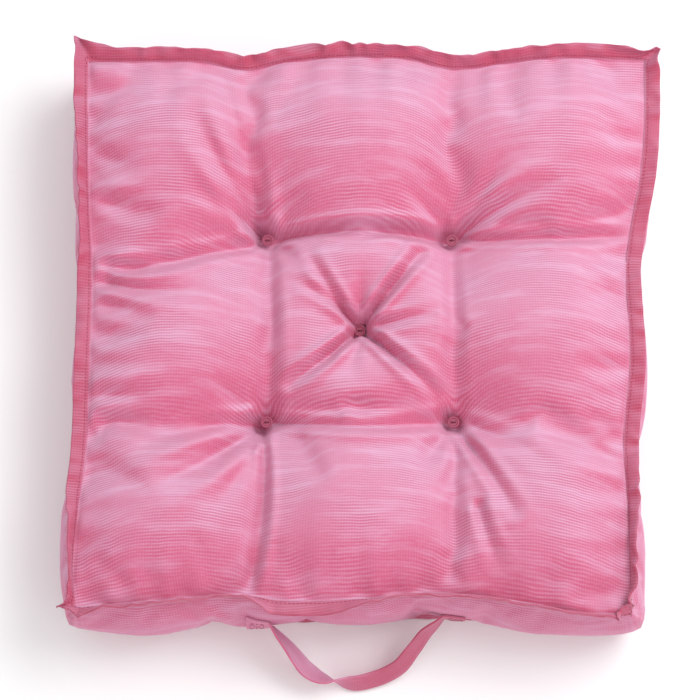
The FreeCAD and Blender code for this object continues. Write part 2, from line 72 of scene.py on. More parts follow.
MM = 0.001
SIDES = ("front", "right", "back", "left")
OUTWARD = {"front": (0, -1), "right": (1, 0), "back": (0, 1), "left": (-1, 0)}
TUFTS = ("centre", "front_left", "front_right", "back_left", "back_right")
STEPS_AROUND = [(x, y) for x in range(-2, 3) for y in range(-2, 3)]
UP = Vector((0, 0, 1))


def middle(node):
    """The middle of a CAD node's box."""
    low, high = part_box(node)
    return (low + high) / 2


SEAM_INSET = 2.5 * MM  # the stitching lies this far outside the seam
TOP_SEAM_Z = middle("top_edge_stitching").z
BOTTOM_SEAM_Z = middle("bottom_edge_stitching").z
SEAM_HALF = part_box("top_edge_stitching")[1].x - SEAM_INSET
CROWN_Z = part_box("top_panel")[1].z
TOP_SEAT_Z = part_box("top_button_centre")[0].z
BOTTOM_SEAT_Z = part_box("bottom_button_centre")[1].z
BUTTON_RADIUS = (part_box("top_button_centre")[1].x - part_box("top_button_centre")[0].x) / 2
TUFT_XY = {t: (middle(f"top_button_{t}").x, middle(f"top_button_{t}").y) for t in TUFTS}
TUFT_REACH = TUFT_XY["front_right"][0]
HINGE = Vector(frame["joints"][0]["pos_m"])

# Places along a side run anticlockwise seen from above, from 0 to 1.
# How far the top seam stands out from its square, in millimetres.
SEAM_OUT = {
    "front": (
        (0, 2), (0.13, -2), (0.29, -8), (0.4, -4), (0.52, -5), (0.63, -10),
        (0.73, -7), (0.82, 0), (0.94, 8), (1, 8),
    ),
    "right": (
        (0, -12), (0.19, -13), (0.29, -15), (0.46, -8), (0.6, -10), (0.68, -5),
        (0.79, 5), (0.88, 9), (1, 11),
    ),
    "back": (
        (0, -1), (0.14, 0), (0.24, -3), (0.34, -8), (0.43, 0), (0.52, 1), (0.64, -2),
        (0.72, -9), (0.8, -3), (0.92, -3), (1, -3),
    ),
    "left": (
        (0, -1), (0.14, -2), (0.27, -4), (0.43, -8), (0.63, -7), (0.72, -6),
        (0.82, -1), (0.94, 3), (1, 0),
    ),
}
# How far the top seam is lifted or pulled down, in millimetres.
SEAM_LIFT = {
    "front": ((0, -2), (0.15, 2), (0.32, -4), (0.5, 1), (0.66, -3), (0.85, 3), (1, -1)),
    "right": ((0, -1), (0.15, 2), (0.32, -3), (0.5, 2), (0.66, -4), (0.85, 3), (1, 0)),
    "back": ((0, 0), (0.15, 3), (0.33, -4), (0.5, 3), (0.7, -4), (0.85, 2), (1, 0)),
    "left": ((0, 0), (0.15, 3), (0.42, -4), (0.55, 1), (0.68, -3), (0.85, 2), (1, -2)),
}
# The top flange's lean, in degrees above the horizontal.
TOP_LEAN = {
    "front": (
        (0, 70), (0.035, 80), (0.06, 84), (0.31, 84), (0.335, 60), (0.36, 8), (0.44, 8),
        (0.5, 55), (0.54, 82), (0.7, 84), (0.94, 82), (0.975, 70), (1, 62),
    ),
    "right": (
        (0, 62), (0.03, 74), (0.12, 74), (0.2, 55), (0.29, 18), (0.4, 8), (0.6, 12),
        (0.8, 8), (0.95, 12), (1, 18),
    ),
    "back": (
        (0, 18), (0.06, 34), (0.2, 42), (0.34, 34), (0.5, 46), (0.7, 30), (0.8, 38),
        (0.93, 34), (1, 26),
    ),
    "left": (
        (0, 26), (0.07, 24), (0.13, 45), (0.24, 58), (0.34, 46), (0.42, 16), (0.6, 16),
        (0.76, 20), (0.85, 60), (0.95, 82), (1, 70),
    ),
}
BOTTOM_LEAN = -46  # the bottom flange droops towards the floor
SWAY = {"top": 8, "bottom": 5}  # how far a flange's lean wanders, in degrees
# How full each side band is.
BAND_SWELL = {
    "front": ((0, 0.8), (0.14, 1.25), (0.3, 1), (0.5, 0.75), (0.7, 0.8), (0.82, 1.15), (1, 0.7)),
    "right": ((0, 0.7), (0.2, 0.75), (0.5, 0.9), (0.8, 0.75), (1, 0.7)),
    "back": ((0, 0.7), (0.17, 0.9), (0.33, 0.75), (0.5, 0.95), (0.67, 0.75), (0.83, 0.9), (1, 0.7)),
    "left": ((0, 0.7), (0.17, 0.85), (0.33, 0.7), (0.6, 0.75), (0.85, 0.95), (1, 0.8)),
}
# How far the flange's gathers stand up and down, in millimetres.
GATHERS = {"front": 2, "right": 3.5, "back": 7.5, "left": 2.8}
# Where the tip of each top corner of the flange is, from the seam's corner at the start of a
# side, in millimetres.
EARS = {"front": (-11, -5, 6), "right": (-4, 3, 10), "back": (12, 6, 7), "left": (-12, 21, 7)}
# How far the folds at those corners stand out, in millimetres.
CRUMPLES = {"front": 5, "right": 5, "back": 1.5, "left": 1.5}

# Across the flange: share of its width, and how far a ply's face stands off the middle, in
# millimetres. The stitching draws the plies together and they meet at the edge.
FLANGE_PROFILE = (
    (0.08, 0.85), (0.19, 0.65), (0.3, 1.15), (0.5, 1.4), (0.7, 1.3), (0.88, 1.1),
    (0.97, 0.75), (1.0, 0.25),
)
STITCH_PLACE = 0.19  # the share of the flange's width that lies inside its stitching
LEAN_WAVES = 16.3  # how often the flange's lean changes along a side
PLEATS, PUCKERS = 31.6, 66.4  # and how often its pleats and its small puckers do
FOLDS = 24  # the folds at its corners follow each other as if a side had so many
CORNER_PART = 19  # and they reach one part in so many of a side
# How far the middle of the flange, the bottom panel and the strap stay above the floor.
FLOOR_GAP, REST_GAP, STRAP_GAP = 0.9 * MM, 0.3 * MM, 1.4 * MM
PLY_FACE = 1.2 * MM  # a ply's outer face is about this far off the flange's middle
THREAD_STAND = 0.12 * MM  # the middle of a stitch is this far off the cloth

# Valleys of the top panel, in millimetres from its middle: where each starts and ends, how
# deep and how wide it is, and how much of its depth is left at its end.
VALLEYS = (
    ((-80, 80), (80, 80), 9, 9, 1.0),
    ((-80, -80), (0, -72), 6, 10, 0.8),
    ((80, -80), (0, -72), 6, 10, 0.8),
    ((-80, 80), (-80, -80), 8, 11, 1.0),
    ((80, 80), (80, -80), 5, 12, 1.0),
    ((-80, 80), (-243, 38), 8, 18, 0.5),
    ((-80, 80), (-108, 238), 7, 14, 0.5),
    ((80, 80), (78, 238), 5, 18, 0.6),
    ((80, 80), (243, 82), 8, 16, 0.6),
    ((-80, -80), (-247, -91), 7, 14, 0.6),
    ((-80, -80), (-95, -237), 6, 7, 0.9),
    ((80, -80), (74, -228), 4, 14, 0.7),
    ((80, -80), (235, -96), 4, 16, 0.5),
)
# Sharp creases of the top panel, given in the same way.
CREASES = (
    ((0, 0), (53, 66), 8.5, 3.4, 0.3),
    ((0, 0), (-44, 62), 6, 3.2, 0.15),
    ((-6, 4), (-54, 38), 5, 3.2, 0.1),
    ((0, 0), (-60, -50), 8, 3.6, 0.25),
    ((0, 0), (66, -58), 8, 3.6, 0.25),
    ((0, 0), (62, 10), 4.5, 3.4, 0.1),
    ((0, 0), (4, 52), 3, 4, 0.0),
    ((0, 0), (-8, -46), 2.5, 4, 0.0),
    ((-80, 80), (-139, 177), 8.5, 7, 0.1),
    ((-86, 100), (-117, 220), 6.5, 7, 0.3),
    ((-80, 80), (-150, 122), 5, 6, 0.0),
    ((80, 80), (173, 124), 7, 5.5, 0.0),
    ((80, 80), (126, 150), 3, 5, 0.0),
    ((80, 80), (34, 128), 3, 5, 0.0),
    ((-80, -80), (-186, -146), 8, 7.5, 0.0),
    ((-80, -80), (-200, -112), 4, 5, 0.0),
    ((-80, -80), (-128, -168), 3, 5, 0.0),
    ((80, -80), (128, -160), 6, 3.8, 0.2),
    ((98, -150), (114, -202), 4, 4, 0.2),
    ((243, -118), (148, -84), 5, 7, 0.0),
    ((243, 22), (188, 29), 3, 6, 0.0),
    ((243, -42), (182, -35), 3, 6, 0.0),
    ((-240, -16), (-178, -12), 4, 6, 0.0),
    ((-241, -56), (-168, -60), 4, 6, 0.0),
    ((-242, -88), (-156, -84), 5, 6, 0.0),
    ((-240, 112), (-172, 98), 4, 6, 0.0),
    ((-238, 152), (-188, 138), 3, 6, 0.0),
    ((80, -80), (168, -128), 3, 5, 0.0),
    ((80, -80), (48, -140), 2.5, 5, 0.0),
    ((-80, 80), (-44, 46), 3, 4, 0.0),
    ((80, -80), (46, -50), 2.5, 4, 0.0),
    ((-236, 42), (-140, 27), 6, 5, 0.1),
    ((-236, 52), (-170, 44), 4, 4, 0.1),
    ((-238, 20), (-186, 16), 3, 5, 0.0),
    ((240, 100), (178, 90), 4, 6, 0.0),
    ((-76, 80), (76, 80), 5.5, 3.6, 1.0),
    ((-76, -80), (76, -80), 3.5, 3.8, 1.0),
    ((-80, 76), (-80, -76), 1.8, 4.5, 1.0),
    ((80, 76), (80, -76), 1.5, 4.5, 1.0),
    ((84, 80), (240, 82), 4.2, 3.6, 0.5),
    ((-82, -84), (-95, -234), 4, 3.4, 0.8),
    ((-82, 84), (-106, 236), 1.2, 5, 0.6),
    ((80, -84), (75, -232), 1.5, 4, 0.6),
    ((-84, 78), (-232, 42), 3.4, 4.5, 0.7),
)

CREASE_DEPTH = 1.9  # what the creases' depths are multiplied by
CREASE_START = 7  # a crease reaches its depth this far from its start, in millimetres
CREASE_BOW = 0.05  # how far a crease bows aside at most, as a share of its length
RIDGE = 0.4  # how high the sides of a crease stand, as a share of its depth
# How high a panel's dome and the puffs on it are before they are blown up, as shares of the
# height between its seam and its crown.
DOME, PUFF = {"top": 0.4, "bottom": 0.8}, {"top": 0.4, "bottom": 0.3}
SMOOTH_PART = 19  # creases fade out near the seams, over one part in so many of the width
SEAM_GATHER = 8 * MM  # how far the sewing gathers the panels in at most
STIFF_RIM = 60 * MM  # spare cloth fades out this far inside a panel's seams
STIFF_ROWS = 3  # and this many rows inside a band's
TUFT_SLOPE, TUFT_NECK = 26 * MM, 7 * MM  # the wide and the narrow part of a tuft's hollow

# The middle line of the strap, in millimetres, and how far its upper edge leans away from the
# cushion, in degrees. Both ends lie on the front band, which pushes them out to its face.
STRAP_LINE = (
    (-97, -240, 50, 0), (-88, -242, 50, 0), (-80, -248, 49.5, 0), (-73, -257, 44, 12),
    (-62, -269, 34, 28), (-45, -288, 19.5, 42), (-31, -295, 14, 26), (-20, -297, 12.5, -4),
    (-5, -299, 11.5, -34), (14, -295, 12.5, -38), (33, -286, 18, -38), (46, -271, 28, -34),
    (57, -257, 38, -26), (66, -249, 46, -10), (74, -243, 50, 0), (89, -240, 50, 0),
)


def linear(hex_colour):
    """An sRGB hex colour as linear red, green, blue and alpha."""
    parts = [int(hex_colour[k:k + 2], 16) / 255 for k in (1, 3, 5)]
    return (*[p / 12.92 if p <= 0.04045 else ((p + 0.055) / 1.055) ** 2.4 for p in parts], 1)


def length_setting(name, description, millimetres):
    """A length for a user to set."""
    return bpy.props.FloatProperty(
        name=name, description=description, default=millimetres * MM, unit="LENGTH"
    )


def ease_setting(name, description, share):
    """A share of spare cloth for a user to set."""
    return bpy.props.FloatProperty(
        name=name, description=description, default=share, min=0, max=0.1
    )


def colour_setting(name, description, hex_colour):
    """A colour for a user to set."""
    return bpy.props.FloatVectorProperty(
        name=name, description=description, default=linear(hex_colour), subtype="COLOR", size=4
    )


class CushionSizes(bpy.types.PropertyGroup):
    """The sizes that the CAD model leaves to the cloth."""

    grid: bpy.props.IntProperty(
        name="Grid", description="Cloth cells along each side", default=96, min=24
    )
    band_rows: bpy.props.IntProperty(
        name="Band rows", description="Cloth cells up a side band", default=18, min=8
    )
    cloth: length_setting("Cloth", "Thickness of the cover cloth", 0.8)
    flange: length_setting("Flange", "Width of the flange outside its seam", 13)
    panel_ease: ease_setting("Panel ease", "Spare cloth between the tufts, as a share", 0.02)
    band_ease: ease_setting("Band ease", "Spare cloth in the side bands, as a share", 0.02)
    pressure: bpy.props.FloatProperty(
        name="Pressure", description="How hard the filling pushes the cloth out", default=10
    )
    steps: bpy.props.IntProperty(
        name="Steps", description="Frames that the cloth is given to settle", default=24
    )
    bulge: length_setting("Bulge", "How far the side bands stand outside their seams", 16)
    stitch: length_setting("Stitch", "Length of one stitch", 2.6)
    stitch_pitch: length_setting("Stitch pitch", "From one stitch to the next", 3.6)
    thread: length_setting("Thread", "Thickness of the sewing thread", 0.6)
    strap_width: length_setting("Strap width", "Width of the carrying strap", 20)
    strap_thickness: length_setting("Strap thickness", "Thickness of the folded strap", 1.8)


class CushionColours(bpy.types.PropertyGroup):
    """The colours of the finishes."""

    cloth: colour_setting("Cloth", "Dyed cotton", "#CD6285")
    # The raised threads' colour is a painted highlight and the gaps' colour a painted shade, the two
    # ends of the weave's tones.
    sheen: colour_setting("Raised threads", "Cotton threads that catch the light", "#D5A2BF")
    gap_shade: colour_setting("Gaps", "Between the threads", "#B03A62")
    thread: colour_setting("Thread", "Sewing thread", "#A8405F")
    button: colour_setting("Button", "Moulded button", "#A84866")
    twine: colour_setting("Twine", "Waxed tufting twine", "#8E3550")
    filling: colour_setting("Filling", "Polyester fibre", "#EDEBE6")
    backdrop: colour_setting("Backdrop", "Paper under the cushion", "#F8F8F8")


# Seams


def along(knots, t):
    """A smooth curve through (place, value) knots that doesn't overshoot them."""
    places, values = zip(*knots)
    k = min(max(int(np.searchsorted(places, t, side="right")) - 1, 0), len(places) - 2)
    slopes = np.diff(values) / np.diff(places)

    def tangent(j):
        if j in (0, len(places) - 1):
            return slopes[min(j, len(slopes) - 1)]
        before, after = slopes[j - 1], slopes[j]
        return 0 if before * after <= 0 else 2 * before * after / (before + after)

    width = places[k + 1] - places[k]
    s = (t - places[k]) / width
    rise = values[k + 1] - values[k]
    first, last = tangent(k) * width, tangent(k + 1) * width
    curve = s * (3 * rise - 2 * first - last + s * (first + last - 2 * rise))
    return float(values[k] + s * (first + curve))


def seam_corner(side, share):
    """The corner at the start of a side; share is how much of the seam's wander counts."""
    before = SIDES[SIDES.index(side) - 1]
    corner = Vector((0, 0))
    for name, t in ((side, 0), (before, 1)):
        corner += (SEAM_HALF + share * MM * along(SEAM_OUT[name], t)) * Vector(OUTWARD[name])
    return corner


def seam_point(side, t, edge):
    """A point of the top or bottom seam, at place t along a side."""
    share = 1 if edge == "top" else 0.5
    following = SIDES[(SIDES.index(side) + 1) % 4]
    point = seam_corner(side, share).lerp(seam_corner(following, share), t)
    normal = Vector(OUTWARD[side])
    reach = SEAM_HALF + share * MM * along(SEAM_OUT[side], t)
    point += (reach - point.dot(normal)) * normal
    if edge == "top":
        z = TOP_SEAM_Z + MM * along(SEAM_LIFT[side], t)
    else:
        z = BOTTOM_SEAM_Z
    return Vector((*point, z))


def seam_loop(edge, count):
    """The whole seam, anticlockwise from the front left corner: count points to a side."""
    return [seam_point(s, k / count, edge) for s in SIDES for k in range(count)]


def flange_frames(edge, count, width):
    """The flange at each point of the seam loop.

    Each row gives the place on the loop, the point, the way out across the flange, the way that
    its upper side faces, and how far its gathers stand up and down, in millimetres.
    """
    loop = seam_loop(edge, count)
    total = len(loop)
    result = []
    for k, point in enumerate(loop):
        before = (point - loop[k - 1]).xy.normalized()
        after = (loop[(k + 1) % total] - point).xy.normalized()
        mean = (before + after).normalized()
        tangent = Vector((mean.x, mean.y, 0))
        normal = Vector((mean.y, -mean.x, 0))
        mitre = 1 / max(mean.dot(after), 0.7)  # as at a square corner, at most
        side, t = SIDES[k // count], (k % count) / count
        wave = noise.noise(Vector((LEAN_WAVES * k / count, 3.1, 0 if edge == "top" else 9)))
        lean = along(TOP_LEAN[side], t) if edge == "top" else BOTTOM_LEAN
        lean = math.radians(lean + SWAY[edge] * wave)
        out = width * (normal * math.cos(lean) * mitre + UP * math.sin(lean))
        corner = round(k / count)
        near = max(0, 1 - abs(k / count - corner) * CORNER_PART)
        gather = GATHERS[side] * (1 + 1.5 * near)
        if edge == "top":
            turn = 2 * FOLDS * math.pi * (k / count - corner)
            fold = Vector((math.sin(turn), math.cos(turn), 0.7 * math.sin(2 * turn + 1)))
            start = SIDES[corner % 4]
            ear = Vector(EARS[start]) + CRUMPLES[start] * fold
            out = out.lerp(ear * MM, near * near * (3 - 2 * near))
        else:
            gather *= 0.5
        result.append((k / count, point, out, out.cross(tangent).normalized(), gather))
    return result


# Cloth


def new_object(name, bm):
    """A smooth-shaded object of that name from a bmesh, which it uses up."""
    mesh = bpy.data.meshes.new(name)
    bm.to_mesh(mesh)
    bm.free()
    for polygon in mesh.polygons:
        polygon.use_smooth = True
    piece = bpy.data.objects.new(name, mesh)
    bpy.context.scene.collection.objects.link(piece)
    return piece


def coordinates(mesh):
    flat = np.empty(len(mesh.vertices) * 3)
    mesh.vertices.foreach_get("co", flat)
    return flat.reshape(-1, 3)


def settle(name, bm, pinned, stiff, ease, bending, cap):
    """Lets a piece of cloth blow up from its first shape, and returns where its points end.

    ease is how much longer the cloth is than that shape, except where stiff is 1. The pinned
    points stay, and no point moves further than cap.
    """
    sizes = bpy.context.scene.cushion_sizes
    piece = new_object(name, bm)
    first = coordinates(piece.data)
    pins = piece.vertex_groups.new(name="pinned")
    pins.add([int(k) for k in np.flatnonzero(pinned)], 1.0, "REPLACE")
    held = piece.vertex_groups.new(name="stiff")
    for k, weight in enumerate(stiff):
        held.add([k], float(weight), "REPLACE")
    modifier = piece.modifiers.new("Cloth", "CLOTH")
    cloth = modifier.settings
    cloth.quality = 6
    cloth.mass = 0.3
    cloth.air_damping = 1.5
    cloth.tension_stiffness = 15
    cloth.compression_stiffness = 15
    cloth.shear_stiffness = 6
    cloth.bending_stiffness = bending
    cloth.vertex_group_mass = "pinned"
    cloth.pin_stiffness = 1
    cloth.vertex_group_shrink = "stiff"
    cloth.shrink_min = -ease
    cloth.shrink_max = 0
    cloth.use_pressure = True
    cloth.uniform_pressure_force = sizes.pressure
    cloth.effector_weights.gravity = 0
    modifier.collision_settings.use_collision = False
    modifier.collision_settings.use_self_collision = False
    modifier.point_cache.frame_start = 1
    modifier.point_cache.frame_end = sizes.steps
    scene = bpy.context.scene
    for number in range(1, sizes.steps + 1):
        scene.frame_set(number)
    settled = piece.evaluated_get(bpy.context.evaluated_depsgraph_get())
    moved = coordinates(settled.data) - first
    scene.frame_set(1)
    bpy.data.objects.remove(piece)
    length = np.linalg.norm(moved, axis=1, keepdims=True)
    return first + moved * np.minimum(1, cap / np.maximum(length, 1e-9))


def new_grid(columns, rows):
    """A flat grid from -1 to 1, and the row and column of each of its vertices."""
    bm = bmesh.new()
    bmesh.ops.create_grid(bm, x_segments=columns, y_segments=rows, size=1)
    row = np.array([round((vert.co.y + 1) * rows / 2) for vert in bm.verts])
    column = np.array([round((vert.co.x + 1) * columns / 2) for vert in bm.verts])
    return bm, row, column


def halved(points, ring=False):
    """Points with a new one half way between each two rows and columns, on a smooth surface.

    In a ring, the last column is joined to the first.
    """
    for axis in (0, 1):
        rows = np.swapaxes(points, 0, axis)
        if ring and axis:
            rows = np.concatenate([rows[-1:], rows, rows[:2]])
        else:
            rows = np.concatenate([2 * rows[:1] - rows[1:2], rows, 2 * rows[-1:] - rows[-2:-1]])
        between = (9 * (rows[1:-2] + rows[2:-1]) - rows[:-3] - rows[3:]) / 16
        finer = np.empty((2 * len(between) + 1, *rows.shape[1:]))
        finer[::2] = rows[1:-1]
        finer[1::2] = between
        points = np.swapaxes(finer[:-1] if ring and axis else finer, 0, axis)
    return points


def relaxed(points):
    """Smooths an array of points a little, apart from its borders."""
    mean = (points[:-2, 1:-1] + points[2:, 1:-1] + points[1:-1, :-2] + points[1:-1, 2:]) / 4
    points = points.copy()
    points[1:-1, 1:-1] = (points[1:-1, 1:-1] + mean) / 2
    return points


def add_flange(bm, ring, frames, sign, flat_layers, flat_way):
    """Extrudes a border outwards, row by row, into one ply of a flange.

    ring holds the border's vertices, and frames their rows of flange_frames. sign is 1 for the
    ply above the flange's middle and -1 for the one below.
    """
    across, upward, filled_and_painted_light = flat_layers
    closed = bm.edges.get((ring[-1], ring[0])) is not None
    done = 0
    for (_, point, *_), vert in zip(frames, ring):
        vert.co = point
    for share, stand in FLANGE_PROFILE:
        pairs = zip(ring, ring[1:] + ring[:1] if closed else ring[1:])
        made = bmesh.ops.extrude_edge_only(bm, edges=[bm.edges.get(p) for p in pairs])["geom"]
        fresh = {part for part in made if isinstance(part, bmesh.types.BMVert)}
        outer = {}
        for vert in fresh:
            for edge in vert.link_edges:
                if edge.other_vert(vert) not in fresh:
                    outer[edge.other_vert(vert)] = vert
        ring = [outer[vert] for vert in ring]
        for (k, point, out, upper, gather), vert in zip(frames, ring):
            wave = 0.4 - 2 * abs(noise.noise(Vector((k * PLEATS, share * 0.6, 5.5))))
            pucker = 0.4 * noise.noise(Vector((k * PUCKERS, share * 2, 1.5)))
            lift = gather * wave * share + sign * (stand + pucker * math.sin(math.pi * share))
            vert.co = point + out * share * (1 + 0.04 * wave) + upper * lift * MM
            vert.co.z = max(vert.co.z, FLOOR_GAP)
            step = (share - done) * out.length
            way = flat_way(out) * step
            vert[across] += way.x
            vert[upward] += way.y
            # The flange's doubled cloth is drawn deeper: partly its own look, partly painted shade.
            vert[filled_and_painted_light] = 0
        done = share


def flat_layers_of(bm):
    """Where each point is on the flat cut, and whether the filling lies behind it. The last mark
    also carries painted shade on the flanges and painted light along the strap.
    """
    return [bm.verts.layers.float.new(name) for name in ("across", "upward", "filled_and_painted_light")]


def write_uv(bm, across, upward):
    """The flat cut as the UV map, one unit to the metre."""
    uv = bm.loops.layers.uv.new("cut")
    for face in bm.faces:
        for loop in face.loops:
            loop[uv].uv = (loop.vert[across], loop.vert[upward])


def declare(piece, finish_name, node):
    """Gives a piece of the cushion its finish, puts it on the cushion's body and hides the CAD node
    that it stands for.
    """
    piece.data.materials.append(finish(finish_name))
    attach(piece, "cushion")
    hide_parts(node)


def finish_cloth(piece, node):
    """Gives a piece of the cover its thickness and its cloth, and hides the CAD node that it replaces.
    """
    wall = piece.modifiers.new("Thickness", "SOLIDIFY")
    wall.thickness = bpy.context.scene.cushion_sizes.cloth
    wall.offset = -1
    declare(piece, "dyed plain-weave cotton", node)


def smooth_step(x):
    x = np.clip(x, 0, 1)
    return x * x * (3 - 2 * x)


# The two panels


def beside(x, y, fold):
    """How far points are along a fold, as a share of it, and how far beside it."""
    (x0, y0), (x1, y1) = fold[:2]
    square = (x1 - x0) ** 2 + (y1 - y0) ** 2
    place = np.clip(((x - x0) * (x1 - x0) + (y - y0) * (y1 - y0)) / square, 0, 1)
    return place, np.hypot(x - x0 - place * (x1 - x0), y - y0 - place * (y1 - y0))


def valley_depth(x, y):
    """How far the valleys pull the top panel in, at points given in millimetres."""
    depth = np.zeros_like(x)
    for fold in VALLEYS:
        place, aside = beside(x, y, fold)
        depth += fold[2] * (1 - (1 - fold[4]) * place**1.3) * np.exp(-((aside / fold[3]) ** 2))
    return depth


def crease_depth(x, y):
    """How far the creases pull the top panel in, between their slightly raised sides."""
    depth = np.zeros_like(x)
    for number, fold in enumerate(CREASES):
        (x0, y0), (x1, y1), deep, wide, left = fold
        length = math.hypot(x1 - x0, y1 - y0)
        bow = CREASE_BOW * length * math.sin(2.4 * number)
        place = beside(x, y, fold)[0]
        shift = bow * np.sin(np.pi * place) / length
        bent = ((x0, y0), (x1, y1))
        place, aside = beside(x + shift * (y1 - y0), y - shift * (x1 - x0), bent)
        fade = np.minimum(1, length * place / CREASE_START) * (1 - (1 - left) * place**1.2)
        wide = wide * (0.8 + 0.5 * place)
        notch = np.exp(1 - np.sqrt(1 + (aside / wide * 1.6) ** 2))
        ridge = RIDGE * np.exp(-((aside - 2.3 * wide) / wide) ** 2)
        depth += CREASE_DEPTH * deep * fade * (notch - ridge)
    return depth


def puffs(x):
    """Rounded humps between the seams and the tufts' lines: 0 on a line, 1 between two."""
    lines = np.array([-SEAM_HALF, -TUFT_REACH, TUFT_REACH, SEAM_HALF])
    k = np.clip(np.searchsorted(lines, x, side="right") - 1, 0, 2)
    place = (x - lines[k]) / (lines[k + 1] - lines[k])
    return 1 - np.exp(-((1.6 * np.sin(np.pi * np.clip(place, 0, 1))) ** 2))


def panel_between_seams(edge, count):
    """The smooth surface through a panel's four seams, rows from front to back."""
    places = np.linspace(0, 1, count + 1)
    rail = {s: np.array([seam_point(s, t, edge) for t in places]) for s in SIDES}
    front, right = rail["front"], rail["right"]
    back, left = rail["back"][::-1], rail["left"][::-1]
    a, b = places[None, :, None], places[:, None, None]
    ruled = (1 - b) * front + b * back + (1 - a) * left[:, None] + a * right[:, None]
    return ruled - (
        (1 - a) * (1 - b) * front[0] + a * (1 - b) * front[-1]
        + (1 - a) * b * back[0] + a * b * back[-1]
    )


def panel_first(edge, count):
    """A panel before the simulation: puffs, folds and the tufts' hollows between its seams."""
    shaped = panel_between_seams(edge, count)
    x, y = shaped[..., 0], shaped[..., 1]
    places = np.linspace(0, 1, count + 1)
    rim = 1 - (1 - np.clip(9 * places * (1 - places), 0, 1)) ** 2
    rim = rim[None, :] * rim[:, None]
    height = DOME[edge] * rim + PUFF[edge] * (puffs(x) * puffs(y))
    if edge == "top":
        height *= CROWN_Z - TOP_SEAM_Z
        height -= valley_depth(x / MM, y / MM) * MM * np.minimum(1, 2 * rim)
        seat = TOP_SEAT_Z - TOP_SEAM_Z
    else:
        height *= -BOTTOM_SEAM_Z
        seat = BOTTOM_SEAT_Z - BOTTOM_SEAM_Z
    for tuft in TUFT_XY.values():
        far = np.hypot(x - tuft[0], y - tuft[1]) - BUTTON_RADIUS
        far = np.maximum(far, 0)
        pull = 0.5 * np.exp(-far / TUFT_SLOPE) + 0.5 * np.exp(-far / TUFT_NECK)
        height = height * (1 - pull) + seat * pull
    shaped[..., 2] += height
    return shaped


def panel_surface(edge):
    """A panel after it has been blown up: a square array of points, rows from front to back.

    The height of each before the creases comes too.
    """
    sizes = bpy.context.scene.cushion_sizes
    count = sizes.grid
    first = panel_first(edge, count)
    bm, row, column = new_grid(count, count)
    for vert, r, c in zip(bm.verts, row, column):
        vert.co = first[r, c]
    if edge == "bottom":
        bmesh.ops.reverse_faces(bm, faces=bm.faces)
    start = first[row, column]
    pinned = (row == 0) | (row == count) | (column == 0) | (column == count)
    for tuft in TUFT_XY.values():
        pinned |= np.hypot(start[:, 0] - tuft[0], start[:, 1] - tuft[1]) < 1.2 * BUTTON_RADIUS
    inside = SEAM_HALF * 2 / count * np.minimum.reduce([row, column, count - row, count - column])
    stiff = 1 - smooth_step(inside / STIFF_RIM)
    points = np.empty_like(first)
    points[row, column] = settle(
        f"{edge}_cut", bm, pinned, stiff, sizes.panel_ease, bending=8, cap=22 * MM
    )
    points = halved(relaxed(points))
    uncreased = points[..., 2].copy()
    if edge == "top":
        x, y = points[..., 0] / MM, points[..., 1] / MM
        points[..., 2] -= crease_depth(x, y) * MM * seam_distance(2 * count)
        points[..., 2] -= seam_gathers(2 * count) * SEAM_GATHER
    else:
        points[..., 2] = np.maximum(points[..., 2], REST_GAP)
    return points, uncreased


def seam_gathers(count):
    """How far the sewing gathers a panel in, just inside its four seams."""
    places = np.linspace(0, 1, count + 1)
    inside = np.minimum(places, places[::-1]) * 2 * SEAM_HALF
    fade = np.minimum(1, inside / (6 * MM)) * np.exp(-inside / (30 * MM))
    depth = np.zeros((count + 1, count + 1))
    for axis in (0, 1):
        for seam in (0, 1):
            wave = [noise.noise(Vector((t * 24, 3.3, 4 * axis + 2 * seam))) for t in places]
            here = fade * (places < 0.5 if seam == 0 else places >= 0.5)
            ripple = here[:, None] * np.array(wave)[None, :]
            depth += ripple if axis == 0 else ripple.T
    return depth


def seam_distance(count):
    """For each point of a panel, 0 at the seams, rising to 1 at 25 mm inside them."""
    places = np.linspace(0, 1, count + 1)
    rim = np.clip(SMOOTH_PART * np.minimum(places, 1 - places), 0, 1)
    return smooth_step(rim[None, :] * rim[:, None])


def make_panel(edge):
    """A panel of the cover with its ply of the flange."""
    sizes = bpy.context.scene.cushion_sizes
    points, uncreased = panel_surface(edge)
    count = len(points) - 1
    seam_z = TOP_SEAM_Z if edge == "top" else BOTTOM_SEAM_Z
    bm, row, column = new_grid(count, count)
    layers = flat_layers_of(bm)
    drape = bm.verts.layers.float.new("drape")
    placed = {}
    for vert, r, c in zip(bm.verts, row, column):
        vert[layers[0]], vert[layers[1]] = vert.co.x * SEAM_HALF, vert.co.y * SEAM_HALF
        vert.co = points[r, c]
        vert[drape] = uncreased[r, c] - seam_z
        vert[layers[2]] = 1
        placed[r, c] = vert
    ring = [placed[0, k] for k in range(count)] + [placed[k, count] for k in range(count)]
    ring += [placed[count, count - k] for k in range(count)]
    ring += [placed[count - k, 0] for k in range(count)]
    frames = flange_frames(edge, count, sizes.flange)
    add_flange(bm, ring, frames, 1 if edge == "top" else -1, layers,
               lambda out: out.xy.normalized())
    if edge == "bottom":
        bmesh.ops.reverse_faces(bm, faces=bm.faces)
    write_uv(bm, *layers[:2])
    finish_cloth(new_object(f"{edge}_panel_cloth", bm), f"{edge}_panel")


# The four side bands


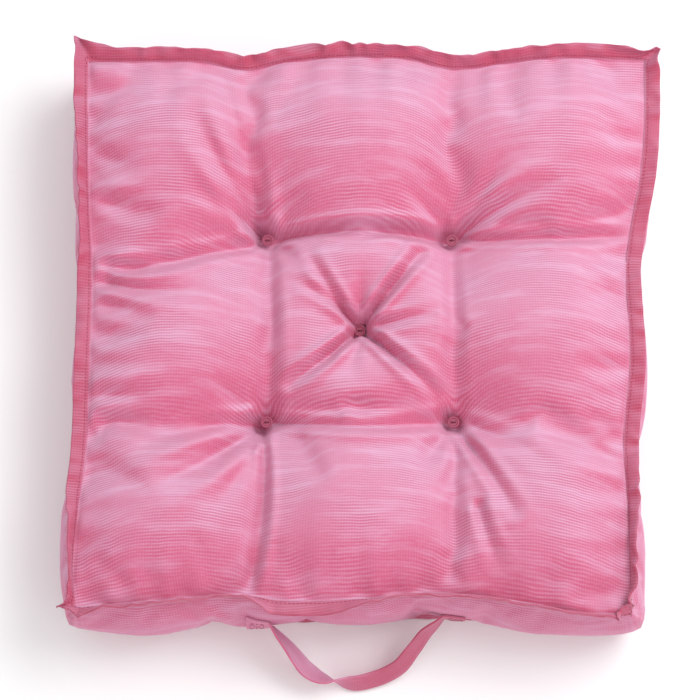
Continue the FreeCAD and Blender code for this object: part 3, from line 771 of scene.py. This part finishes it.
def band_surface():
    """The bands after they have been blown up: rows from the bottom seam up, columns round."""
    sizes = bpy.context.scene.cushion_sizes
    count, rows = sizes.grid, sizes.band_rows
    low, high = seam_loop("bottom", count), seam_loop("top", count)
    total = len(low)
    first = np.empty((rows + 1, total, 3))
    for k in range(total):
        way = (high[(k + 1) % total] - high[k - 1]).xy.normalized()
        normal = Vector((way.y, -way.x, 0))
        dent = along(BAND_SWELL[SIDES[k // count]], (k % count) / count)
        dent += 0.2 * noise.noise(Vector((k * 0.09, 7.7, 0)))
        for r in range(rows + 1):
            reach = sizes.bulge * dent * math.sin(math.pi * (r / rows) ** 0.8) ** 0.8
            first[r, k] = low[k].lerp(high[k], r / rows) + normal * reach
    bm, row, column = new_grid(total, rows)
    placed = {}
    for vert, r, c in zip(bm.verts, row, column):
        vert.co = first[r, c % total]
        placed[r, c] = vert
    joins = {placed[r, total]: placed[r, 0] for r in range(rows + 1)}
    bmesh.ops.weld_verts(bm, targetmap=joins)
    row, column = row[column < total], column[column < total]
    pinned = (row == 0) | (row == rows)
    stiff = 1 - smooth_step(np.minimum(row, rows - row) / STIFF_ROWS)
    points = np.empty_like(first)
    points[row, column] = settle(
        "band_cut", bm, pinned, stiff, sizes.band_ease, bending=5, cap=8 * MM
    )
    return halved(points, ring=True)


def make_bands():
    """The four side bands, each with its plies of both flanges."""
    sizes = bpy.context.scene.cushion_sizes
    points = band_surface()
    rows, total = len(points) - 1, points.shape[1]
    count = total // 4
    tall = (TOP_SEAM_Z - BOTTOM_SEAM_Z) / 2
    loops = {edge: flange_frames(edge, count, sizes.flange) for edge in ("top", "bottom")}
    for number, side in enumerate(SIDES):
        bm, row, column = new_grid(count, rows)
        layers = flat_layers_of(bm)
        placed = {}
        for vert, r, c in zip(bm.verts, row, column):
            vert[layers[0]], vert[layers[1]] = vert.co.x * SEAM_HALF, vert.co.y * tall
            vert[layers[2]] = 1
            vert.co = points[r, (number * count + c) % total]
            placed[r, c] = vert
        places = [(number * count + k) % total for k in range(count + 1)]
        for seam, edge, sign in ((rows, "top", -1), (0, "bottom", 1)):
            frames = [loops[edge][k] for k in places]
            ring = [placed[seam, k] for k in range(count + 1)]
            add_flange(bm, ring, frames, sign, layers, lambda out, sign=sign: Vector((0, -sign)))
        write_uv(bm, *layers[:2])
        piece = new_object(f"{side}_band_cloth", bm)
        finish_cloth(piece, f"{side}_band")


# Filling


def surface_of(name):
    """A finished piece's surface, to find places on."""
    return BVHTree.FromObject(bpy.data.objects[name], bpy.context.evaluated_depsgraph_get())


def make_filling():
    """The fibre pad, which fills the cover from inside."""
    sizes = bpy.context.scene.cushion_sizes
    cells = 48  # along each side
    gap, spot_gap = 5 * MM, 3 * MM  # to the cloth, and between the places where that is measured
    pinch_width, top_pinch, bottom_pinch = 15 * MM, 9 * MM, 5 * MM  # at the tufts
    inset, bulge_share = 0.975, 0.7  # shares of the cover's width, and of the bands' bulge
    above, below = 0.3, -0.2  # heights well clear of the cover
    top, bottom = surface_of("top_panel_cloth"), surface_of("bottom_panel_cloth")
    plan = panel_between_seams("top", cells)
    bm = bmesh.new()
    bmesh.ops.create_cube(bm, size=2)
    bmesh.ops.subdivide_edges(bm, edges=bm.edges, cuts=cells - 1, use_grid_fill=True)
    for vert in bm.verts:
        a, b, c = vert.co
        column, row = round((a + 1) * cells / 2), round((b + 1) * cells / 2)
        place = Vector(plan[row, column]).xy * inset
        rounding = math.cos(math.pi * c / 2) * max(a * a, b * b) ** 4
        swell = 1 + bulge_share * sizes.bulge / SEAM_HALF * rounding
        around = [0.99 * (place + Vector(step) * spot_gap) for step in STEPS_AROUND]
        ceiling = min(top.ray_cast(Vector((*spot, above)), -UP)[0].z for spot in around) - gap
        ground = bottom.ray_cast(Vector((*place, below)), UP)[0].z + gap
        for tuft in TUFT_XY.values():
            pinch = math.exp(-((place - Vector(tuft)).length / pinch_width) ** 2)
            ceiling -= top_pinch * pinch
            ground += bottom_pinch * pinch
        height = ground + (max(ceiling, ground + gap) - ground) * (c + 1) / 2
        vert.co = (*(place * swell), height)
    bmesh.ops.smooth_vert(
        bm, verts=bm.verts, factor=0.3, use_axis_x=True, use_axis_y=True, use_axis_z=True
    )
    piece = new_object("fibre_filling", bm)
    declare(piece, "polyester fibre wadding", "filling_pad")


# Carrying strap


def make_strap():
    """The strap: a folded strip, sewn flat to the front band at both ends and twisted between."""
    sizes = bpy.context.scene.cushion_sizes
    long, wide = 150, 8  # cells along it and across it
    cup = 0.5 * MM  # how far its edges curl in
    end_reach = 14 * MM  # how far above and below the hinge the sewn ends reach
    in_front = -0.4  # a place well in front of the band
    band = surface_of("front_band_cloth")
    knots = range(len(STRAP_LINE))
    spread = np.linspace(0, len(STRAP_LINE) - 1, long * 4 + 1)
    line = np.array([
        [along([(k, STRAP_LINE[k][axis]) for k in knots], s) for axis in range(4)]
        for s in spread
    ])
    lengths = np.concatenate([[0], np.cumsum(np.linalg.norm(np.diff(line[:, :3], axis=0), axis=1))])
    even = np.linspace(0, lengths[-1], long + 1)
    line = np.stack([np.interp(even, lengths, line[:, axis]) for axis in range(4)], axis=1)
    line[:, :3] *= MM
    bm, row, column = new_grid(long, wide)
    layers = flat_layers_of(bm)
    for vert, r, c in zip(bm.verts, row, column):
        ahead, behind = line[min(c + 2, long)], line[max(c - 2, 0)]
        tangent = Vector(ahead[:3] - behind[:3]).normalized()
        out = tangent.cross(UP).normalized()
        roll = math.radians(line[c, 3])
        width = out.cross(tangent) * math.cos(roll) + out * math.sin(roll)
        place = (2 * r / wide - 1) * sizes.strap_width / 2
        cupped = out.cross(tangent) * math.sin(roll) - out * math.cos(roll)
        edge = abs(2 * r / wide - 1)
        vert.co = Vector(line[c, :3]) + width * place + cupped * cup * edge * edge
        vert[layers[0]], vert[layers[1]] = even[c] * MM, place
        # Painted light: the strap's left leg is kept pale, as if lit, and its right leg deeper, as if
        # shaded.
        vert[layers[2]] = 1 - smooth_step(3 * c / long - 0.9)  # paler on the left
        hit = band.ray_cast(Vector((vert.co.x, in_front, vert.co.z)), Vector((0, 1, 0)))[0]
        if hit and abs(vert.co.z - HINGE.z) < end_reach:
            vert.co.y = min(vert.co.y, hit.y - 0.75 * sizes.strap_thickness)
        vert.co.z = max(vert.co.z, STRAP_GAP)
    write_uv(bm, *layers[:2])
    strap = new_object("strap_cloth", bm)
    wall = strap.modifiers.new("Thickness", "SOLIDIFY")
    wall.thickness = sizes.strap_thickness
    wall.offset = 0
    edges = strap.modifiers.new("Edges", "BEVEL")
    edges.width, edges.segments = 0.5 * MM, 2
    smooth = strap.modifiers.new("Rounding", "SUBSURF")
    smooth.levels = smooth.render_levels = 1
    settled = strap.evaluated_get(bpy.context.evaluated_depsgraph_get())
    mesh = bpy.data.meshes.new_from_object(settled)
    strap.modifiers.clear()
    strap.data = mesh
    mesh.materials.append(finish("dyed plain-weave cotton"))
    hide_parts("carrying_strap", "strap_end_left", "strap_end_right")
    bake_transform(strap)


# Stitching


def one_stitch():
    """The mesh of a stitch, lying along Z: a rounded grain as long and thick as 1 unit."""
    bm = bmesh.new()
    bmesh.ops.create_uvsphere(bm, u_segments=6, v_segments=4, radius=0.5)
    mesh = bpy.data.meshes.new("stitch")
    bm.to_mesh(mesh)
    bm.free()
    return mesh


def sew(bm, stitch, line, surface):
    """A row of stitches along a line, each lying on the surface."""
    sizes = bpy.context.scene.cushion_sizes
    parts = [(b - a).length for a, b in zip(line, line[1:])]
    count = max(1, round(sum(parts) / sizes.stitch_pitch))
    reach = [sum(parts) * (k + 0.5) / count for k in range(count)]
    start, k = 0, 0
    for place in reach:
        while place > start + parts[k] and k < len(parts) - 1:
            start += parts[k]
            k += 1
        centre = line[k].lerp(line[k + 1], (place - start) / parts[k])
        ahead = (line[k + 1] - line[k]).normalized()
        hit, normal = surface.find_nearest(centre)[:2]
        if normal.dot(centre - hit) < 0:
            normal = -normal
        aside = normal.cross(ahead).normalized()
        ahead = aside.cross(normal)
        axes = Matrix((aside * sizes.thread, normal * sizes.thread, ahead * sizes.stitch))
        turn = axes.transposed().to_4x4()
        turn.translation = hit + normal * THREAD_STAND
        stitch.transform(turn)
        bm.from_mesh(stitch)
        stitch.transform(turn.inverted())


def stitched(name, bm, node):
    """A piece made of stitches, from a bmesh of them."""
    bmesh.ops.recalc_face_normals(bm, faces=bm.faces)
    declare(new_object(name, bm), "spun polyester sewing thread", node)


def make_stitching():
    """The stitching along both flanges, on both of their faces, and on the strap's ends."""
    sizes = bpy.context.scene.cushion_sizes
    count = sizes.grid
    stitch = one_stitch()
    for edge, sign in (("top", 1), ("bottom", -1)):
        frames = flange_frames(edge, count, sizes.flange)
        bm = bmesh.new()
        panel = surface_of(f"{edge}_panel_cloth")
        for number, side in enumerate(SIDES):
            band = surface_of(f"{side}_band_cloth")
            for surface, face in ((panel, sign), (band, -sign)):
                line = [
                    point + out * STITCH_PLACE + upper * face * PLY_FACE
                    for _, point, out, upper, _ in (
                        frames[(number * count + k) % len(frames)] for k in range(count + 1)
                    )
                ]
                sew(bm, stitch, line, surface)
        stitched(f"{edge}_edge_stitches", bm, f"{edge}_edge_stitching")
    strap = surface_of("strap_cloth")
    for side in ("left", "right"):
        low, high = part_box(f"strap_stitching_{side}")
        a, b, c, d = (
            Vector((x, low.y - 3 * MM, z))
            for x, z in ((low.x, low.z), (high.x, low.z), (high.x, high.z), (low.x, high.z))
        )
        bm = bmesh.new()
        for line in ((d, a), (a, b), (b, c), (c, d), (a, c), (b, d)):  # a box and its cross
            sew(bm, stitch, line, strap)
        stitched(f"strap_stitches_{side}", bm, f"strap_stitching_{side}")


# Finishes


WAVE = 0.31416  # a wave texture of this scale repeats once in a metre


def add_node(tree, kind, links=(), values=(), **settings):
    """Adds a node, with the sockets linked to its inputs, its inputs' values and its settings."""
    node = tree.nodes.new("ShaderNode" + kind)
    for name, value in settings.items():
        setattr(node, name, value)
    for key, value in dict(values).items():
        node.inputs[key].default_value = value
    for key, socket in dict(links).items():
        tree.links.new(socket, node.inputs[key])
    return node


def cotton(tree, shader, colours, solid):
    """Plain-weave cotton: matt, with painted highlights on its raised threads, painted shade in the
    gaps between them, and painted light on cloth that faces the back.

    The threads are 0.4 mm apart, which is too fine to show, so they are drawn 2.4 mm apart.
    They bend round the puffs as such cloth's bands of light and dark do.
    """
    place = add_node(tree, "UVMap", uv_map="cut").outputs["UV"]
    parts = add_node(tree, "SeparateXYZ", {0: place})
    drape = add_node(tree, "Attribute", attribute_name="drape").outputs["Fac"]
    # Slack of the weave, in patches 50 mm wide.
    slack = add_node(tree, "TexNoise", {"Vector": solid},
                     {"Scale": 20.0, "Detail": 2.0}).outputs["Fac"]
    bent = parts.outputs["Y"]
    for pattern, factor in ((drape, -0.75), (slack, 0.008)):
        bent = add_node(tree, "Math", {0: pattern, 2: bent}, {1: factor},
                        operation="MULTIPLY_ADD").outputs[0]
    threads = add_node(tree, "CombineXYZ", {0: parts.outputs["X"], 1: bent}).outputs[0]
    weft = add_node(tree, "TexWave", {"Vector": threads},
                    {"Scale": WAVE / 2.4 / MM, "Distortion": 0.6, "Detail": 1.0, "Detail Scale": 0.4},
                    bands_direction="Y").outputs["Fac"]
    warp = add_node(tree, "TexWave", {"Vector": place},
                    {"Scale": WAVE / 2.3 / MM, "Distortion": 0.5, "Detail": 1.0},
                    bands_direction="X").outputs["Fac"]
    # Painted light: cloth whose normal faces the back is painted paler and lilac, as if lit from there,
    # and upright cloth facing the front, on the strap's side, is painted somewhat paler too.
    facing = add_node(tree, "NewGeometry").outputs["Normal"]
    facing = add_node(tree, "SeparateXYZ", {0: facing}).outputs["Y"]
    painted_light = add_node(tree, "MapRange", {0: facing}, {1: -0.4, 2: 0.4, 3: 0.0, 4: 1.0},
                   interpolation_type="SMOOTHSTEP").outputs[0]
    upright_painted_light = add_node(tree, "MapRange", {0: facing},
                       {1: -0.5, 2: -0.85, 3: 0.0, 4: 0.28}).outputs[0]
    painted_light = add_node(tree, "Math", {0: painted_light, 1: upright_painted_light}, operation="MAXIMUM").outputs[0]
    # Slubs, which are thicker stretches of thread, about 6 mm long and 1.2 mm thick, and streaks
    # of paler lilac tone along the weft, about 60 mm long and 9 mm apart.
    slubs, streaks = (
        add_node(tree, "TexNoise",
                 {"Vector": add_node(tree, "Mapping", {"Vector": vector}, {"Scale": scale}).outputs[0]},
                 {"Scale": 1.0, "Detail": detail}).outputs["Fac"]
        for vector, scale, detail in ((place, (160, 800, 1), 2.0), (threads, (17, 110, 1), 3.0))
    )
    strength = add_node(tree, "MapRange", {0: slack},
                        {1: 0.35, 2: 0.62, 3: 0.05, 4: 0.36}).outputs[0]
    # Where the painted light is, the weave's painted tones and bumps are drawn stronger too.
    clear = add_node(tree, "MapRange", {0: painted_light}, {3: 0.5, 4: 1.9}).outputs[0]
    strength = add_node(tree, "Math", {0: strength, 1: clear}, operation="MULTIPLY").outputs[0]
    ribs = add_node(tree, "Math", {0: weft}, {1: 0.5}, operation="SUBTRACT").outputs[0]
    height = add_node(tree, "Math", {0: ribs, 1: strength}, {2: 0.35},
                      operation="MULTIPLY_ADD").outputs[0]
    for pattern, factor in ((warp, 0.08), (slubs, 0.22)):
        height = add_node(tree, "Math", {0: pattern, 2: height}, {1: factor},
                          operation="MULTIPLY_ADD").outputs[0]
    # The weave's tones: gaps painted dark as shade, raised threads painted pale as a highlight.
    tone = add_node(tree, "ValToRGB", {0: height})
    ramp = tone.color_ramp
    ramp.elements[0].position, ramp.elements[0].color = 0.2, colours.gap_shade
    ramp.elements[1].position, ramp.elements[1].color = 0.85, colours.sheen
    ramp.elements.new(0.5).color = colours.cloth
    streaks = add_node(tree, "MapRange", {0: streaks},
                       {1: 0.48, 2: 0.8, 3: 0.0, 4: 0.35}).outputs[0]
    # Painted highlight: the painted light, with the streaks, turns the tone towards a pale lilac.
    painted_light_and_streaks = add_node(tree, "Math", {0: painted_light, 2: streaks}, {1: 0.42},
                     operation="MULTIPLY_ADD").outputs[0]
    tone_with_painted_light = add_node(tree, "Mix", {0: painted_light_and_streaks, 6: tone.outputs[0]}, {7: linear("#DFB4D2")},
                       data_type="RGBA").outputs[2]
    # Partly real: white fibre behind the cloth makes it paler than the doubled cloth of the flanges.
    # Partly painted shade: the flanges' cloth is multiplied deeper than that alone would make it. On
    # the strap this mask is painted light: its left leg stays pale, as if lit, its right leg turns
    # deeper, as if shaded.
    filled_and_painted_light = add_node(tree, "Attribute", attribute_name="filled_and_painted_light").outputs["Fac"]
    deep = add_node(tree, "Mix", {6: tone_with_painted_light}, {0: 1.0, 7: linear("#E6B8C0")}, data_type="RGBA",
                    blend_type="MULTIPLY").outputs[2]
    dyed = add_node(tree, "Mix", {0: filled_and_painted_light, 6: deep, 7: tone_with_painted_light}, data_type="RGBA").outputs[2]
    tree.links.new(dyed, shader.inputs["Base Color"])
    pattern_on(tree, shader, height, None, 0.3, 0.35 * MM, 0.72)
    shader.inputs["Sheen Weight"].default_value = 0.3
    shader.inputs["Sheen Roughness"].default_value = 0.5
    shader.inputs["Sheen Tint"].default_value = linear("#F3D3EC")


def pattern_on(tree, shader, pattern, tones, strength, depth, roughness):
    """Colours a surface between two tones by a pattern, if any, and embosses the pattern.

    depth is how deep the pattern is, in metres.
    """
    if tones:
        tone = add_node(tree, "Mix", {0: pattern}, {6: tones[0], 7: tones[1]}, data_type="RGBA")
        tree.links.new(tone.outputs[2], shader.inputs["Base Color"])
    bump = add_node(tree, "Bump", {"Height": pattern}, {"Strength": strength, "Distance": depth})
    tree.links.new(bump.outputs[0], shader.inputs["Normal"])
    shader.inputs["Roughness"].default_value = roughness


def wadding(tree, shader, colours, solid):
    """Polyester fibre: white, matt and fluffy, in clumps about 4 mm across."""
    fluff = add_node(tree, "TexNoise", {"Vector": solid},
                     {"Scale": 250.0, "Detail": 6.0}).outputs["Fac"]
    pattern_on(tree, shader, fluff, (linear("#CFCBC2"), colours.filling), 0.6, 1 * MM, 0.95)


def thread(tree, shader, colours, solid):
    """Spun polyester: a soft gloss, darker than the cloth, with plies that turn in 0.8 mm."""
    plies = add_node(tree, "TexNoise", {"Vector": solid},
                     {"Scale": 1250.0, "Detail": 2.0}).outputs["Fac"]
    pattern_on(tree, shader, plies, (linear("#8A2F4C"), colours.thread), 0.4, 0.1 * MM, 0.5)


def moulded(tree, shader, colours, solid):
    """Moulded resin: smooth, slightly cloudy in patches 3 mm across, with a soft gloss."""
    cloud = add_node(tree, "TexNoise", {"Vector": solid},
                     {"Scale": 300.0, "Detail": 3.0}).outputs["Fac"]
    tone = add_node(tree, "Mix", {0: cloud}, {6: linear("#97405C"), 7: colours.button},
                    data_type="RGBA")
    tree.links.new(tone.outputs[2], shader.inputs["Base Color"])
    rough = add_node(tree, "MapRange", {0: cloud}, {3: 0.32, 4: 0.5})
    tree.links.new(rough.outputs[0], shader.inputs["Roughness"])
    shader.inputs["IOR"].default_value = 1.5


def waxed(tree, shader, colours, solid):
    """Waxed twine: two plies laid together, with the dull shine of wax."""
    # The plies cross the twine every 1.4 mm, on the slant.
    slant = add_node(tree, "Mapping", {"Vector": solid}, {"Rotation": (0.6, 0.5, 0)}).outputs[0]
    lay = add_node(tree, "TexWave", {"Vector": slant}, {"Scale": WAVE / 1.4 / MM},
                   bands_direction="Z").outputs["Fac"]
    pattern_on(tree, shader, lay, (linear("#6B2239"), colours.twine), 0.5, 0.2 * MM, 0.45)


def paper(tree, shader, colours, solid):
    """Background paper: white and dead matt, with a faint tooth, drawn 2.5 mm across."""
    tooth = add_node(tree, "TexNoise", {"Vector": solid},
                     {"Scale": 400.0, "Detail": 3.0}).outputs["Fac"]
    pattern_on(tree, shader, tooth, None, 0.05, 0.2 * MM, 0.95)
    shader.inputs["Base Color"].default_value = colours.backdrop


FINISHES = {
    "dyed plain-weave cotton": cotton,
    "polyester fibre wadding": wadding,
    "spun polyester sewing thread": thread,
    "moulded resin": moulded,
    "waxed tufting twine": waxed,
    "background paper": paper,
}


def finish(name):
    """The material of that name, made when it is first asked for."""
    material = bpy.data.materials.get(name)
    if material is None:
        material = bpy.data.materials.new(name)
        material.use_nodes = True
        tree = material.node_tree
        solid = add_node(tree, "TexCoord").outputs["Object"]
        colours = bpy.context.scene.cushion_colours
        FINISHES[name](tree, tree.nodes["Principled BSDF"], colours, solid)
    return material


# Stage


def aim(thing, target):
    """Points a light or a camera at a place."""
    thing.rotation_euler = (target - thing.location).to_track_quat("-Z", "Y").to_euler()


def make_stage():
    """The camera, the paper that the cushion lies on, and a soft studio light."""
    scene = bpy.context.scene
    lens = bpy.data.cameras.new("camera")
    lens.sensor_width, lens.lens = 36, 119.3  # in millimetres
    camera = bpy.data.objects.new("camera", lens)
    tilt, away = math.radians(79), 2.0  # above the floor, and metres from the target
    target = Vector((-8.6, -16.7, 68)) * MM
    camera.location = target + away * Vector((0, -math.cos(tilt), math.sin(tilt)))
    aim(camera, target)
    scene.collection.objects.link(camera)
    scene.camera = camera
    bm = bmesh.new()
    bmesh.ops.create_grid(bm, x_segments=1, y_segments=1, size=6)  # 12 m square
    floor = new_object("paper", bm)
    floor.data.materials.append(finish("background paper"))
    world = bpy.data.worlds.new("studio")
    world.use_nodes = True
    # A white room, brightest above the cushion, on its right and in front.
    around = add_node(world.node_tree, "TexCoord").outputs["Generated"]
    toward = add_node(world.node_tree, "VectorMath", {0: around}, {1: (0.38, -0.45, 0.81)},
                      operation="DOT_PRODUCT").outputs["Value"]
    glow = add_node(world.node_tree, "MapRange", {0: toward},
                    {1: -0.4, 2: 1, 3: 0.5, 4: 1.05}).outputs[0]
    background = world.node_tree.nodes["Background"]
    background.inputs["Color"].default_value = (1, 1, 1, 1)
    world.node_tree.links.new(glow, background.inputs["Strength"])
    scene.world = world
    lamp = bpy.data.lights.new("softbox", "AREA")
    lamp.shape, lamp.size, lamp.size_y = "RECTANGLE", 1.4, 1.0
    lamp.energy = 28  # in watts
    softbox = bpy.data.objects.new("softbox", lamp)
    softbox.location = (1.1, 0.7, 2.0)
    aim(softbox, Vector((0, 0, 0.05)))
    scene.collection.objects.link(softbox)
    scene.view_settings.view_transform = "Standard"


# The add-on


class CUSHION_OT_stage(bpy.types.Operator):
    """Sets up the camera, the paper and the light"""

    bl_idname = "cushion.stage"
    bl_label = "Stage"

    def execute(self, context):
        make_stage()
        return {"FINISHED"}


class CUSHION_OT_panels(bpy.types.Operator):
    """Makes the top and bottom panels of the cover"""

    bl_idname = "cushion.panels"
    bl_label = "Panels"

    def execute(self, context):
        make_panel("top")
        make_panel("bottom")
        return {"FINISHED"}


class CUSHION_OT_side_bands(bpy.types.Operator):
    """Makes the four side bands of the cover"""

    bl_idname = "cushion.side_bands"
    bl_label = "Side bands"

    def execute(self, context):
        make_bands()
        return {"FINISHED"}


class CUSHION_OT_filling(bpy.types.Operator):
    """Makes the fibre pad inside the cover"""

    bl_idname = "cushion.filling"
    bl_label = "Filling"

    def execute(self, context):
        make_filling()
        return {"FINISHED"}


class CUSHION_OT_carrying_strap(bpy.types.Operator):
    """Makes the carrying strap on the front band"""

    bl_idname = "cushion.carrying_strap"
    bl_label = "Carrying strap"

    def execute(self, context):
        make_strap()
        return {"FINISHED"}


class CUSHION_OT_stitching(bpy.types.Operator):
    """Sews the flanges and the strap's ends"""

    bl_idname = "cushion.stitching"
    bl_label = "Stitching"

    def execute(self, context):
        make_stitching()
        return {"FINISHED"}


class CUSHION_OT_tufts(bpy.types.Operator):
    """Gives the buttons and the tufting twine their finishes"""

    bl_idname = "cushion.tufts"
    bl_label = "Tufts"

    def execute(self, context):
        for tuft in TUFTS:
            for node, name in (
                (f"top_button_{tuft}", "moulded resin"),
                (f"bottom_button_{tuft}", "moulded resin"),
                (f"tuft_twine_{tuft}", "waxed tufting twine"),
            ):
                mesh = frame["nodes"][node].data
                mesh.materials.clear()
                mesh.materials.append(finish(name))
        return {"FINISHED"}


OPERATORS = (
    CUSHION_OT_stage, CUSHION_OT_panels, CUSHION_OT_side_bands, CUSHION_OT_filling,
    CUSHION_OT_carrying_strap, CUSHION_OT_stitching, CUSHION_OT_tufts,
)


class CUSHION_PT_maker(bpy.types.Panel):
    """Lists the cushion's pieces, sizes and colours"""

    bl_idname = "CUSHION_PT_maker"
    bl_label = "Tufted floor cushion"
    bl_space_type = "VIEW_3D"
    bl_region_type = "UI"
    bl_category = "Cushion"

    def draw(self, context):
        for operator in OPERATORS:
            self.layout.operator(operator.bl_idname)
        for group in (context.scene.cushion_sizes, context.scene.cushion_colours):
            box = self.layout.box()
            for name in group.bl_rna.properties.keys():
                if name not in ("rna_type", "name"):
                    box.prop(group, name)


CLASSES = (CushionSizes, CushionColours, *OPERATORS, CUSHION_PT_maker)


def register():
    for kind in CLASSES:
        bpy.utils.register_class(kind)
    bpy.types.Scene.cushion_sizes = bpy.props.PointerProperty(type=CushionSizes)
    bpy.types.Scene.cushion_colours = bpy.props.PointerProperty(type=CushionColours)


def unregister():
    del bpy.types.Scene.cushion_colours
    del bpy.types.Scene.cushion_sizes
    for kind in reversed(CLASSES):
        bpy.utils.unregister_class(kind)


def main():
    """Makes the whole cushion, in order."""
    register()
    bpy.ops.cushion.stage()
    bpy.ops.cushion.panels()
    bpy.ops.cushion.side_bands()
    bpy.ops.cushion.filling()
    bpy.ops.cushion.carrying_strap()
    bpy.ops.cushion.stitching()
    bpy.ops.cushion.tufts()


if __name__ == "__main__":
    main()
